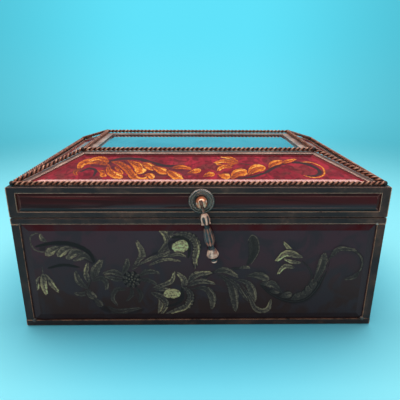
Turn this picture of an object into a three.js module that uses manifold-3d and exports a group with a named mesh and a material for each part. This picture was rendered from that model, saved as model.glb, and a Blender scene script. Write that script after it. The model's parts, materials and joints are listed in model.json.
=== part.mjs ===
// Hinged box with a hipped lid: a dark metal frame holds bevelled panes of glass that are painted
// on the back, twisted wire covers the joints of the lid, and a drop pull hangs from its front.
// Millimetres, +Z up, the front faces -Y, and the origin is the middle of the foot on the table.

import * as THREE from 'three';
import { mergeVertices } from 'three/addons/utils/BufferGeometryUtils.js';
import Module from 'manifold-3d';

// Overall sizes
const boxWidth = 320;
const boxDepth = 228;
const rimHeight = 107.5;
const bandHeight = 26.9;
const roofRise = 17.5;
const topInsetWide = 49.6;
const topInsetDeep = 58.3;

// Clearances
const fit = 0.3;
const seamGap = 0.4;
const floorClearance = 0.4;
const cutOverrun = 4;

// Frame metal of the walls
const railDepth = 5;
const railLip = 1.2;
const lipCover = 1.5;
const edgeRound = 0.9;
const topRailHeight = 5.5;
const bottomRailHeight = 5.8;
const flangeThickness = 1.2;
const postWidth = 7.5;

// Lid band
const bandUpperRail = 5.3;
const bandLowerRail = 5.3;
const bandStile = 7.5;

// Roof metal
const eaveInset = 6.4;
const roofStep = 0.4;
const roofLip = 1;
const eaveStrip = 3;
const hipFlange = 4.4;
const topFlange = 3.6;
const topBorder = 8.4;
const ledgeThickness = 1.2;
const webThickness = 1.4;

// Glass
const wallGlassEdge = 3.2;
const wallBevel = 7.6;
const wallBevelRise = 0.9;
const bandBevel = 4.2;
const bandBevelRise = 0.7;
const roofGlassEdge = 3;
const roofBevel = 6.4;
const roofBevelRise = 0.8;

// Boards, lining and foot
const boardThickness = 4;
const liningThickness = 1;
const feltThickness = 1.6;

// Twisted wire
const wireDiameter = 3.8;
const wireSetback = 2.6;
const topWireInset = 0.7;
const strandPitch = 4.4;
const solderBead = 4.4;

// Hinge
const hingeLength = 252;
const hingeKnuckles = 12;
const barrelDiameter = 5;
const hingeRodDiameter = 2.4;
const leafThickness = 0.8;
const leafHeight = 5;
const knuckleGap = 0.5;

// Drop pull
const pullOffCentre = 1.4;
const pullAboveRim = 15.5;
const pullLean = 12.1;
const plateDiameter = 21.6;
const plateThickness = 1.2;
const plateRimWidth = 2.2;
const plateRimRise = 1.1;
const bossDiameter = 9.6;
const bossHeight = 9.4;
const pivotHeight = 6.4;
const pivotRise = 1.2;
const slotWidth = 2.9;
const slotAbove = 2.6;
const pinDiameter = 1.8;
const pinPlay = 0.3;
const studDiameter = 3.6;
const nutDiameter = 9;
const nutThickness = 2;
const studTail = 0.6;
const tongueThickness = 2;
const tongueEye = 4.6;
const dropReach = 56.4;
const dropWidth = 10.5;
const capStart = 9.7;
const ballDiameter = 1.5;
const ballSpread = 6.6;
const ballReach = 19;
const neckOverlap = 1;

// Counts
const ringsPerStrand = 2;
const roundSides = 12;
const latheSides = 24;
const fluteSides = 16;
const nutSides = 6;
const edgeSegments = 3;

// Finishes: colour, roughness and metalness of each kind of piece
const finishes = {
  frameMetal: { color: 0x2a2722, roughness: 0.42, metalness: 0.75 },
  roofMetal: { color: 0x6d4c3c, roughness: 0.45, metalness: 0.75 },
  wire: { color: 0x5a3c2c, roughness: 0.4, metalness: 0.8 },
  wallGlass: { color: 0x2c1a1f, roughness: 0.08, metalness: 0 },
  roofGlass: { color: 0x8f2b2e, roughness: 0.08, metalness: 0 },
  topGlass: { color: 0x6f9fae, roughness: 0.04, metalness: 0.6 },
  board: { color: 0x3a2a20, roughness: 0.8, metalness: 0 },
  velvet: { color: 0x3d1218, roughness: 0.95, metalness: 0 },
  felt: { color: 0x1c2420, roughness: 1, metalness: 0 },
  copper: { color: 0xa6705a, roughness: 0.35, metalness: 0.85 },
  agedCopper: { color: 0x6f6256, roughness: 0.42, metalness: 0.8 },
};

const wasm = await Module();
wasm.setup();

// Worked-out sizes that several pieces share
const halfWidth = boxWidth / 2;
const halfDepth = boxDepth / 2;
const rimDepth = railDepth + fit + boardThickness;
const bandBottom = rimHeight + seamGap;
const bandTop = bandBottom + bandHeight;
const roofFoot = bandTop + roofStep;
const roofTop = roofFoot + roofRise;
const roofStack = roofLip + fit + roofGlassEdge + fit + ledgeThickness;
const wireRadius = wireDiameter / 2;
const baseBottom = floorClearance + flangeThickness + fit;
const baseTop = baseBottom + boardThickness;
const boardTop = rimHeight - flangeThickness - fit;
const eaveWireInset = wireSetback + wireRadius;
const eaveWireHeight = bandTop + fit + wireRadius;
const topWireHeight = roofTop + fit + wireRadius;
const barrelRadius = barrelDiameter / 2;
const hingeY = halfDepth + fit + barrelRadius;
const hingeZ = rimHeight + seamGap / 2;
const pullHeight = rimHeight + pullAboveRim;
const plateBack = fit;
const plateFront = plateBack + plateThickness;

// The four walls: each is drawn facing -Y and turned about the middle of the box
const longWall = { half: halfWidth, reach: halfDepth, topInset: topInsetDeep, endInset: topInsetWide };
const shortWall = { half: halfDepth, reach: halfWidth, topInset: topInsetWide, endInset: topInsetDeep };
const walls = [
  { name: 'front', turn: 0, ...longWall },
  { name: 'right', turn: 1, ...shortWall },
  { name: 'back', turn: 2, ...longWall },
  { name: 'left', turn: 3, ...shortWall },
];
const quarterTurn = Math.PI / 2;

// The slope of the roof over a wall, seen from the wall's end: x is depth into the box, y is height
function roofSlope(topInset) {
  const run = topInset - eaveInset;
  const angle = Math.atan2(roofRise, run);
  const up = new THREE.Vector2(Math.cos(angle), Math.sin(angle));
  const out = new THREE.Vector2(-Math.sin(angle), Math.cos(angle));
  return { angle, up, out, length: Math.hypot(run, roofRise) };
}

// A point at a distance up the slope and a distance below its surface
function onSlope(start, slope, along, below) {
  return start.clone().addScaledVector(slope.up, along).addScaledVector(slope.out, -below);
}

// Solids that are cut or joined
function toSolid(geometry) {
  const bare = geometry.index ? geometry.toNonIndexed() : geometry.clone();
  for (const attribute of Object.keys(bare.attributes)) {
    if (attribute !== 'position') bare.deleteAttribute(attribute);
  }
  const merged = mergeVertices(bare, 1e-4);
  const mesh = new wasm.Mesh({
    numProp: 3,
    vertProperties: new Float32Array(merged.attributes.position.array),
    triVerts: new Uint32Array(merged.index.array),
  });
  return new wasm.Manifold(mesh);
}

function toGeometry(solid) {
  const mesh = solid.getMesh();
  const geometry = new THREE.BufferGeometry();
  geometry.setAttribute('position', new THREE.BufferAttribute(new Float32Array(mesh.vertProperties), 3));
  geometry.setIndex(new THREE.BufferAttribute(new Uint32Array(mesh.triVerts), 1));
  geometry.computeVertexNormals();
  return geometry;
}

function cutAway(geometry, ...tools) {
  const solid = tools.reduce((rest, tool) => rest.subtract(toSolid(tool)), toSolid(geometry));
  return toGeometry(solid);
}

function joinAll(...geometries) {
  const solid = geometries.map(toSolid).reduce((joined, next) => joined.add(next));
  return toGeometry(solid);
}

function keepInside(geometry, tool) {
  return toGeometry(toSolid(geometry).intersect(toSolid(tool)));
}

// A named piece with its finish
function piece(name, geometry, finish) {
  const mesh = new THREE.Mesh(geometry, new THREE.MeshStandardMaterial(finish));
  mesh.name = name;
  return mesh;
}

// A block between two corners
function block(low, high) {
  const size = new THREE.Vector3().subVectors(high, low);
  const middle = new THREE.Vector3().addVectors(low, high).multiplyScalar(0.5);
  return new THREE.BoxGeometry(size.x, size.y, size.z).translate(middle.x, middle.y, middle.z);
}

function corner(x, y, z) {
  return new THREE.Vector3(x, y, z);
}

// Moves every corner of a geometry by a rule
function reshape(geometry, rule) {
  const position = geometry.attributes.position;
  const point = new THREE.Vector3();
  for (let i = 0; i < position.count; i += 1) {
    point.fromBufferAttribute(position, i);
    rule(point);
    position.setXYZ(i, point.x, point.y, point.z);
  }
  return geometry;
}

// Turns what was drawn in XY and drawn out along Z so that it runs along X
function endwiseAxes() {
  return new THREE.Matrix4().makeBasis(corner(0, 1, 0), corner(0, 0, 1), corner(1, 0, 0));
}

// A bar along X whose section is drawn as depth and height, with its ends mitred to meet the next
// wall's bar; the mitre follows the depth, so bars of any section meet in a square corner.
function mitredBar(section, halfLength) {
  const bar = new THREE.ExtrudeGeometry(section, {
    depth: 1,
    bevelEnabled: false,
    curveSegments: edgeSegments,
  });
  bar.applyMatrix4(endwiseAxes());
  return reshape(bar, (point) => {
    const end = halfLength - point.y - fit / 2;
    point.x = point.x > 0.5 ? end : -end;
  });
}

function shapeOf(points) {
  return new THREE.Shape(points);
}

// Glass

// Moves each edge of an outline inwards by its own distance
function insetOutline(outline, distances) {
  const count = outline.length;
  const edges = outline.map((start, i) => {
    const along = outline[(i + 1) % count].clone().sub(start).normalize();
    const inward = new THREE.Vector2(-along.y, along.x);
    return { start: start.clone().addScaledVector(inward, distances[i]), along };
  });
  return edges.map((edge, i) => {
    const before = edges[(i + count - 1) % count];
    const gap = edge.start.clone().sub(before.start);
    const travel = gap.cross(edge.along) / before.along.cross(edge.along);
    return before.start.clone().addScaledVector(before.along, travel);
  });
}

// A pane whose edge slopes up to a thicker field: the outline lies in XY and the front faces +Z
function bevelledPane(outline, edgeThickness, rise, bevel) {
  const field = insetOutline(outline, outline.map(() => bevel));
  const pane = new THREE.ExtrudeGeometry(shapeOf(outline), { depth: 2, steps: 2, bevelEnabled: false });
  const nearest = (point) => {
    const spans = outline.map((vertex) => Math.hypot(vertex.x - point.x, vertex.y - point.y));
    return spans.indexOf(Math.min(...spans));
  };
  return reshape(pane, (point) => {
    if (point.z > 1.5) {
      const target = field[nearest(point)];
      point.set(target.x, target.y, edgeThickness + rise);
    } else if (point.z > 0.5) {
      point.z = edgeThickness;
    }
  });
}

function rectangle(halfX, lowY, highY) {
  return [
    new THREE.Vector2(-halfX, lowY),
    new THREE.Vector2(halfX, lowY),
    new THREE.Vector2(halfX, highY),
    new THREE.Vector2(-halfX, highY),
  ];
}

// Box body

function bottomRailSection() {
  const section = new THREE.Shape();
  section.moveTo(edgeRound, 0);
  section.lineTo(rimDepth, 0);
  section.lineTo(rimDepth, flangeThickness);
  section.lineTo(railDepth, flangeThickness);
  section.lineTo(railDepth, bottomRailHeight - lipCover);
  section.lineTo(railLip, bottomRailHeight - lipCover);
  section.lineTo(railLip, bottomRailHeight);
  section.lineTo(0, bottomRailHeight);
  section.lineTo(0, edgeRound);
  section.absarc(edgeRound, edgeRound, edgeRound, Math.PI, Math.PI + quarterTurn, false);
  return section;
}

function topRailSection() {
  const section = new THREE.Shape();
  section.moveTo(0, 0);
  section.lineTo(railLip, 0);
  section.lineTo(railLip, lipCover);
  section.lineTo(railDepth, lipCover);
  section.lineTo(railDepth, topRailHeight - flangeThickness);
  section.lineTo(rimDepth, topRailHeight - flangeThickness);
  section.lineTo(rimDepth, topRailHeight);
  section.lineTo(edgeRound, topRailHeight);
  section.absarc(edgeRound, topRailHeight - edgeRound, edgeRound, quarterTurn, Math.PI, false);
  return section;
}

function cornerPost() {
  const notch = postWidth - lipCover;
  const section = new THREE.Shape();
  section.moveTo(edgeRound, 0);
  section.lineTo(postWidth, 0);
  section.lineTo(postWidth, railLip);
  section.lineTo(notch, railLip);
  section.lineTo(notch, railDepth);
  section.lineTo(railDepth, railDepth);
  section.lineTo(railDepth, notch);
  section.lineTo(railLip, notch);
  section.lineTo(railLip, postWidth);
  section.lineTo(0, postWidth);
  section.lineTo(0, edgeRound);
  section.absarc(edgeRound, edgeRound, edgeRound, Math.PI, Math.PI + quarterTurn, false);
  const low = floorClearance + bottomRailHeight + fit;
  const high = rimHeight - topRailHeight - fit;
  const post = new THREE.ExtrudeGeometry(section, {
    depth: high - low,
    bevelEnabled: false,
    curveSegments: edgeSegments,
  });
  return post.translate(0, 0, low);
}

function wallPane(halfOpening, lowOpening, highOpening, edge, rise, bevel) {
  const tuck = lipCover - fit;
  const outline = rectangle(halfOpening + tuck, lowOpening - tuck, highOpening + tuck);
  return bevelledPane(outline, edge, rise, bevel).rotateX(quarterTurn);
}

function boxWall(wall) {
  const group = new THREE.Group();
  group.rotation.z = wall.turn * quarterTurn;
  const { name, half, reach } = wall;

  const bottomBar = mitredBar(bottomRailSection(), half);
  const bottomRail = piece(`${name}_bottom_rail`, bottomBar, finishes.frameMetal);
  bottomRail.position.set(0, -reach, floorClearance);

  const topRail = piece(`${name}_top_rail`, mitredBar(topRailSection(), half), finishes.frameMetal);
  topRail.position.set(0, -reach, rimHeight - topRailHeight);

  const post = piece(`${name}_corner_post`, cornerPost(), finishes.frameMetal);
  post.position.set(-half, -reach, 0);

  const lowOpening = floorClearance + bottomRailHeight;
  const highOpening = rimHeight - topRailHeight;
  const pane = wallPane(half - postWidth, lowOpening, highOpening, wallGlassEdge, wallBevelRise, wallBevel);
  const glass = piece(`${name}_glass`, pane, finishes.wallGlass);
  glass.position.set(0, railDepth - fit - reach, 0);

  const runsThrough = wall.turn % 2 === 0;
  const boardHalf = half - (runsThrough ? railDepth : rimDepth) - fit;
  const innerFace = rimDepth - reach;
  const board = piece(
    `${name}_board`,
    block(
      corner(-boardHalf, innerFace - boardThickness, baseTop + fit),
      corner(boardHalf, innerFace, boardTop),
    ),
    finishes.board,
  );

  group.add(bottomRail, topRail, post, glass, board);
  return group;
}

function boxFloor() {
  const group = new THREE.Group();
  const boardInset = railDepth + fit;
  const base = block(
    corner(boardInset - halfWidth, boardInset - halfDepth, baseBottom),
    corner(halfWidth - boardInset, halfDepth - boardInset, baseTop),
  );
  const feltInset = rimDepth + fit;
  const felt = block(
    corner(feltInset - halfWidth, feltInset - halfDepth, 0),
    corner(halfWidth - feltInset, halfDepth - feltInset, feltThickness),
  );
  const liningInset = rimDepth + fit;
  const innerInset = liningInset + liningThickness;
  const liningBottom = baseTop + fit;
  const lining = cutAway(
    block(
      corner(liningInset - halfWidth, liningInset - halfDepth, liningBottom),
      corner(halfWidth - liningInset, halfDepth - liningInset, rimHeight - fit),
    ),
    block(
      corner(innerInset - halfWidth, innerInset - halfDepth, liningBottom + liningThickness),
      corner(halfWidth - innerInset, halfDepth - innerInset, rimHeight + cutOverrun),
    ),
  );
  group.add(
    piece('base_board', base, finishes.board),
    piece('base_felt', felt, finishes.felt),
    piece('box_lining', lining, finishes.velvet),
  );
  return group;
}

// Lid band: a frame bar whose window holds the glass, with a channel on top for the roof glass

function bandSection(slope) {
  const foot = new THREE.Vector2(eaveInset, bandHeight + roofStep);
  const channel = eaveStrip - lipCover;
  const ledgeTop = roofStack - ledgeThickness;
  const innerRise = (railDepth - foot.x) * Math.sin(slope.angle) - roofStack;
  const innerTop = foot.y + innerRise / Math.cos(slope.angle);
  const section = new THREE.Shape();
  section.moveTo(edgeRound, 0);
  section.lineTo(railDepth, 0);
  section.lineTo(railDepth, innerTop);
  const upper = [
    onSlope(foot, slope, eaveStrip, roofStack),
    onSlope(foot, slope, eaveStrip, ledgeTop),
    onSlope(foot, slope, channel, ledgeTop),
    onSlope(foot, slope, channel, roofLip),
    onSlope(foot, slope, eaveStrip, roofLip),
    onSlope(foot, slope, eaveStrip, 0),
    foot,
    new THREE.Vector2(foot.x, bandHeight),
  ];
  upper.forEach((point) => section.lineTo(point.x, point.y));
  section.lineTo(edgeRound, bandHeight);
  section.absarc(edgeRound, bandHeight - edgeRound, edgeRound, quarterTurn, Math.PI, false);
  section.lineTo(0, edgeRound);
  section.absarc(edgeRound, edgeRound, edgeRound, Math.PI, Math.PI + quarterTurn, false);
  return section;
}

function lidBand(wall) {
  const slope = roofSlope(wall.topInset);
  const bar = mitredBar(bandSection(slope), wall.half);
  const halfWindow = wall.half - bandStile;
  const windowTop = bandHeight - bandUpperRail;
  const window = block(
    corner(-halfWindow, -cutOverrun, bandLowerRail),
    corner(halfWindow, railDepth, windowTop),
  );
  const rebate = block(
    corner(-halfWindow - lipCover, railLip, bandLowerRail - lipCover),
    corner(halfWindow + lipCover, railDepth, windowTop + lipCover),
  );
  const band = piece(`lid_${wall.name}_band`, cutAway(bar, window, rebate), finishes.frameMetal);
  band.position.set(0, -wall.reach, bandBottom);
  return band;
}

function lidBandGlass(wall) {
  const windowTop = bandHeight - bandUpperRail;
  const halfWindow = wall.half - bandStile;
  let pane = wallPane(halfWindow, bandLowerRail, windowTop, wallGlassEdge, bandBevelRise, bandBevel);
  if (wall.name === 'front') {
    const hole = new THREE.CylinderGeometry(
      studDiameter / 2 + fit,
      studDiameter / 2 + fit,
      railDepth + cutOverrun,
      roundSides,
    );
    pane = cutAway(pane, hole.translate(pullOffCentre, 0, pullHeight - bandBottom));
  }
  const glass = piece(`lid_${wall.name}_band_glass`, pane, finishes.wallGlass);
  glass.position.set(0, railDepth - fit - wall.reach, bandBottom);
  return glass;
}

// Roof

function roofPane(wall) {
  const slope = roofSlope(wall.topInset);
  const footHalf = wall.half - eaveInset;
  const topHalf = wall.half - wall.endInset;
  const face = [
    new THREE.Vector2(-footHalf, 0),
    new THREE.Vector2(footHalf, 0),
    new THREE.Vector2(topHalf, slope.length),
    new THREE.Vector2(-topHalf, slope.length),
  ];
  const hipTuck = hipFlange - lipCover + fit;
  const outline = insetOutline(face, [
    eaveStrip - lipCover + fit,
    hipTuck,
    topFlange - lipCover + fit,
    hipTuck,
  ]);
  const pane = bevelledPane(outline, roofGlassEdge, roofBevelRise, roofBevel);
  pane.translate(0, 0, fit + ledgeThickness - roofStack);
  const glass = piece(`roof_${wall.name}_glass`, pane, finishes.roofGlass);
  glass.position.set(0, eaveInset - wall.reach, roofFoot);
  glass.rotation.x = slope.angle;
  return glass;
}

// The bars round the flat top: a channel for the sloping glass and one for the top glass
function topBarSection(slope) {
  const edge = new THREE.Vector2(0, 0);
  const channel = topFlange - lipCover;
  const ledgeTop = roofStack - ledgeThickness;
  const innerWall = topBorder - lipCover;
  return shapeOf([
    onSlope(edge, slope, -topFlange, 0),
    onSlope(edge, slope, -topFlange, roofLip),
    onSlope(edge, slope, -channel, roofLip),
    onSlope(edge, slope, -channel, ledgeTop),
    onSlope(edge, slope, -topFlange, ledgeTop),
    onSlope(edge, slope, -topFlange, roofStack),
    new THREE.Vector2(roofStack * Math.tan(slope.angle / 2), -roofStack),
    new THREE.Vector2(topBorder, -roofStack),
    new THREE.Vector2(topBorder, -ledgeTop),
    new THREE.Vector2(innerWall, -ledgeTop),
    new THREE.Vector2(innerWall, -roofLip),
    new THREE.Vector2(topBorder, -roofLip),
    new THREE.Vector2(topBorder, 0),
    edge,
  ]);
}

function topBar(wall) {
  const slope = roofSlope(wall.topInset);
  const bar = mitredBar(topBarSection(slope), wall.half - wall.endInset);
  const mesh = piece(`top_${wall.name}_bar`, bar, finishes.roofMetal);
  mesh.position.set(0, wall.topInset - wall.reach, roofTop);
  return mesh;
}

function topGlass() {
  const inset = topBorder - lipCover + fit;
  const halfX = halfWidth - topInsetWide - inset;
  const halfY = halfDepth - topInsetDeep - inset;
  const pane = bevelledPane(rectangle(halfX, -halfY, halfY), roofGlassEdge, roofBevelRise, roofBevel);
  pane.translate(0, 0, roofTop - roofStack + ledgeThickness + fit);
  return piece('top_glass', pane, finishes.topGlass);
}

// How far the sloping flange of a top bar reaches out from the top edge, seen from above
function topReach(topInset) {
  return topFlange * Math.cos(roofSlope(topInset).angle);
}

// How far the eave channel reaches into the box at a distance below the roof's surface
function eaveReach(topInset, below) {
  const { angle } = roofSlope(topInset);
  return eaveInset + eaveStrip * Math.cos(angle) + below * Math.sin(angle);
}

// The line where two roof slopes meet, from the eave corner to the corner of the flat top
function hipLine(signX, signY) {
  const foot = corner(signX * (halfWidth - eaveInset), signY * (halfDepth - eaveInset), roofFoot);
  const top = corner(signX * (halfWidth - topInsetWide), signY * (halfDepth - topInsetDeep), roofTop);
  const along = top.clone().sub(foot).normalize();
  const across = corner(0, 0, 1).cross(along).normalize();
  const up = along.clone().cross(across);
  return { foot, top, along, across, up, length: top.distanceTo(foot) };
}

// A block through the whole height of the lid, for trimming what runs along the hips
function standingBlock(halfX, halfY) {
  return block(corner(-halfX, -halfY, bandBottom), corner(halfX, halfY, topWireHeight + wireDiameter));
}

// One flange of a hip bar: the direction in which it lies on its roof slope, away from the hip
function hipFlangeSide(hip, normal) {
  const lie = normal.clone().cross(hip.along).normalize();
  if (lie.z > 0) lie.negate();
  const flat = (vector) => new THREE.Vector2(vector.dot(hip.across), vector.dot(hip.up));
  return { lie: flat(lie), out: flat(normal) };
}

function hipBar(signX, signY) {
  const hip = hipLine(signX, signY);
  const wide = roofSlope(topInsetWide);
  const deep = roofSlope(topInsetDeep);
  const flanges = [
    hipFlangeSide(hip, corner(-signX * wide.out.x, 0, wide.out.y)),
    hipFlangeSide(hip, corner(0, -signY * deep.out.x, deep.out.y)),
  ].sort((a, b) => b.lie.x - a.lie.x);
  const halfWeb = webThickness / 2;
  const valley = (flange) => {
    const webX = Math.sign(flange.lie.x) * halfWeb;
    return new THREE.Vector2(webX, (-roofLip - webX * flange.out.x) / flange.out.y);
  };
  const tips = flanges.map((flange) => flange.lie.clone().multiplyScalar(hipFlange));
  const unders = flanges.map((flange, i) => tips[i].clone().addScaledVector(flange.out, -roofLip));
  const ridge = new THREE.Vector2(0, 0);
  const valleys = flanges.map(valley);
  const capOutline = [ridge, tips[0], unders[0], ...valleys, unders[1], tips[1]];
  const webOutline = rectangle(halfWeb, -roofStack, -roofLip / 2);
  const overrun = eaveInset + cutOverrun;
  const alongHip = (outline) => {
    const bar = new THREE.ExtrudeGeometry(shapeOf(outline), {
      depth: hip.length + 2 * overrun,
      bevelEnabled: false,
    });
    bar.translate(0, 0, -overrun);
    return bar.applyMatrix4(
      new THREE.Matrix4().makeBasis(hip.across, hip.up, hip.along).setPosition(hip.foot),
    );
  };
  const clearOfEave = (below) => standingBlock(
    halfWidth - eaveReach(topInsetWide, below) - fit,
    halfDepth - eaveReach(topInsetDeep, below) - fit,
  );
  const top = standingBlock(
    halfWidth - topInsetWide + topReach(topInsetWide) + fit,
    halfDepth - topInsetDeep + topReach(topInsetDeep) + fit,
  );
  const cap = keepInside(alongHip(capOutline), clearOfEave(roofLip));
  const web = keepInside(alongHip(webOutline), clearOfEave(roofStack));
  return cutAway(joinAll(cap, web), top);
}

// Twisted wire: a square wire that makes a quarter turn for each strand, drawn along X
function twistedWire(length) {
  const strands = Math.max(1, Math.round(length / strandPitch));
  const section = shapeOf([0, 1, 2, 3].map((i) => new THREE.Vector2(
    wireRadius * Math.cos(i * quarterTurn),
    wireRadius * Math.sin(i * quarterTurn),
  )));
  const wire = new THREE.ExtrudeGeometry(section, {
    depth: length,
    steps: strands * ringsPerStrand,
    bevelEnabled: false,
  });
  wire.translate(0, 0, -length / 2);
  reshape(wire, (point) => {
    const turn = -quarterTurn * strands * (point.z / length);
    point.applyAxisAngle(corner(0, 0, 1), turn);
  });
  return wire.applyMatrix4(endwiseAxes());
}

// A closed loop of four lengths of wire, soldered at the corners
function wireLoop(halfX, halfY) {
  const sides = [0, 1, 2, 3].map((turn) => {
    const along = turn % 2 === 0 ? halfX : halfY;
    const away = turn % 2 === 0 ? halfY : halfX;
    return twistedWire(2 * along).translate(0, -away, 0).rotateZ(turn * quarterTurn);
  });
  const beads = [-1, 1].flatMap((signX) => [-1, 1].map((signY) => {
    const bead = new THREE.SphereGeometry(solderBead / 2, roundSides, roundSides / 2);
    return bead.rotateX(quarterTurn).translate(signX * halfX, signY * halfY, 0);
  }));
  return joinAll(...sides, ...beads);
}

// The wire on a hip runs into the corner of the eave wire and up to the corner of the top wire
function hipWire(signX, signY) {
  const hip = hipLine(signX, signY);
  const length = hip.length + 2 * (eaveWireInset + cutOverrun);
  const middle = hip.foot.clone().lerp(hip.top, 0.5).addScaledVector(hip.up, wireRadius + fit);
  const wire = twistedWire(length).applyMatrix4(
    new THREE.Matrix4().makeBasis(hip.along, hip.across, hip.up).setPosition(middle),
  );
  const clearance = wireRadius + fit;
  const eaveTrim = eaveWireInset + clearance;
  const inside = standingBlock(halfWidth - eaveTrim, halfDepth - eaveTrim);
  const topTrim = topWireInset - clearance;
  const top = standingBlock(halfWidth - topInsetWide - topTrim, halfDepth - topInsetDeep - topTrim);
  return cutAway(keepInside(wire, inside), top);
}

// Lid lining: a hipped shell that follows the underside of the roof

// A block with a hipped top: the two upper rings of corners are drawn in from the bottom ring
function hippedBlock(halfX, halfY, low, eave, top, drawX, drawY) {
  const form = new THREE.BoxGeometry(2 * halfX, 2 * halfY, 2, 1, 1, 2);
  return reshape(form, (point) => {
    if (point.z > 0.5) {
      point.set(Math.sign(point.x) * (halfX - drawX), Math.sign(point.y) * (halfY - drawY), top);
    } else {
      point.z = point.z < -0.5 ? low : eave;
    }
  });
}

// The depth into the box at which a plane under the roof slope reaches a height
function depthUnderRoof(topInset, below, height) {
  const { angle } = roofSlope(topInset);
  return eaveInset + (height - roofFoot + below / Math.cos(angle)) / Math.tan(angle);
}

function heightUnderRoof(topInset, below, depth) {
  const { angle } = roofSlope(topInset);
  return roofFoot + (depth - eaveInset) * Math.tan(angle) - below / Math.cos(angle);
}

function lidLining() {
  const below = roofStack + fit;
  const outer = railDepth + fit;
  const low = bandBottom + fit;
  const form = (skin, bottom) => {
    const depth = outer + skin;
    const eave = Math.min(
      heightUnderRoof(topInsetWide, below + skin, depth),
      heightUnderRoof(topInsetDeep, below + skin, depth),
    );
    const top = roofTop - below - skin;
    const drawX = depthUnderRoof(topInsetWide, below + skin, top) - depth;
    const drawY = depthUnderRoof(topInsetDeep, below + skin, top) - depth;
    return hippedBlock(halfWidth - depth, halfDepth - depth, bottom, eave, top, drawX, drawY);
  };
  const nutHole = new THREE.CylinderGeometry(
    nutDiameter / 2 + fit,
    nutDiameter / 2 + fit,
    2 * (outer + liningThickness),
    roundSides,
  );
  nutHole.translate(pullOffCentre, outer + liningThickness - halfDepth, pullHeight);
  return cutAway(form(0, low), form(liningThickness, low - cutOverrun), nutHole);
}

// Hinge along the back: two leaves whose knuckles alternate on one rod

function hingeBar(radius, length, middle) {
  const bar = new THREE.CylinderGeometry(radius, radius, length, roundSides);
  return bar.rotateZ(quarterTurn).translate(middle, hingeY, hingeZ);
}

function hingeLeaf(isLid) {
  const pitch = hingeLength / hingeKnuckles;
  const knuckles = Array.from({ length: hingeKnuckles }, (_, i) => (i + 0.5) * pitch - hingeLength / 2);
  const own = knuckles.filter((_, i) => (i % 2 === 0) === isLid);
  const other = knuckles.filter((_, i) => (i % 2 === 0) !== isLid);
  const inner = halfDepth + fit;
  const direction = isLid ? 1 : -1;
  const far = hingeZ + direction * (leafHeight + seamGap / 2);
  const plate = block(
    corner(-hingeLength / 2, inner, Math.min(hingeZ, far)),
    corner(hingeLength / 2, inner + leafThickness, Math.max(hingeZ, far)),
  );
  const barrels = own.map((x) => hingeBar(barrelRadius, pitch - knuckleGap, x));
  const gaps = other.map((x) => hingeBar(barrelRadius + fit, pitch + knuckleGap, x));
  const leaf = cutAway(plate, ...gaps);
  const bore = hingeBar(hingeRodDiameter / 2 + fit, hingeLength + cutOverrun, 0);
  return cutAway(joinAll(leaf, ...barrels), bore);
}

function hingeRod() {
  return hingeBar(hingeRodDiameter / 2, hingeLength, 0);
}

// Drop pull, drawn in its own frame: the origin is on the front face at the middle of the plate,
// -Y points out of the box, and the whole pull is turned about Y by its lean

// A turned form about Y that grows towards -Y, from points of radius and height
function turnedForward(points, sides) {
  return new THREE.LatheGeometry(points.map(([r, y]) => new THREE.Vector2(r, y)), sides).rotateX(Math.PI);
}

function pullPlate() {
  const outer = plateDiameter / 2;
  const rimMiddle = outer - plateRimWidth / 2;
  const innerRing = (outer + bossDiameter / 2) / 2;
  const hole = studDiameter / 2 + fit;
  return turnedForward([
    [hole, plateBack],
    [outer, plateBack],
    [outer, plateFront],
    [rimMiddle, plateFront + plateRimRise],
    [outer - plateRimWidth, plateFront],
    [innerRing + plateRimWidth / 2, plateFront],
    [innerRing, plateFront + plateRimRise / 2],
    [innerRing - plateRimWidth / 2, plateFront],
    [hole, plateFront],
    [hole, plateBack],
  ], latheSides);
}

function pullBoss() {
  const foot = plateFront + fit;
  const radius = bossDiameter / 2;
  const stud = studDiameter / 2;
  const domeShares = [[1, 0], [1, 0.42], [0.93, 0.68], [0.74, 0.87], [0.42, 0.97]];
  const tail = railDepth + nutThickness + fit + studTail;
  const boss = turnedForward([
    [0, -tail],
    [stud, -tail],
    [stud, foot],
    ...domeShares.map(([r, y]) => [radius * r, foot + bossHeight * y]),
    [0, foot + bossHeight],
  ], latheSides);
  const slot = block(
    corner(-slotWidth / 2, -foot - bossHeight - cutOverrun, -radius - cutOverrun),
    corner(slotWidth / 2, -foot - fit, pivotRise + slotAbove),
  );
  const pinHole = new THREE.CylinderGeometry(
    pinDiameter / 2 + fit / 2,
    pinDiameter / 2 + fit / 2,
    bossDiameter + cutOverrun,
    roundSides,
  );
  pinHole.rotateZ(quarterTurn).translate(0, -plateFront - pivotHeight, pivotRise);
  return cutAway(boss, slot, pinHole);
}

function pullPin() {
  const reach = Math.sqrt(bossDiameter ** 2 / 4 - pivotRise ** 2) - fit;
  const pin = new THREE.CylinderGeometry(pinDiameter / 2, pinDiameter / 2, 2 * reach, roundSides);
  return pin.rotateZ(quarterTurn).translate(0, -plateFront - pivotHeight, pivotRise);
}

function pullNut() {
  const nut = new THREE.CylinderGeometry(nutDiameter / 2, nutDiameter / 2, nutThickness, nutSides);
  const bore = new THREE.CylinderGeometry(
    studDiameter / 2 + fit / 2,
    studDiameter / 2 + fit / 2,
    nutThickness + cutOverrun,
    latheSides,
  );
  return cutAway(nut, bore).translate(0, railDepth + fit + nutThickness / 2, 0);
}

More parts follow.
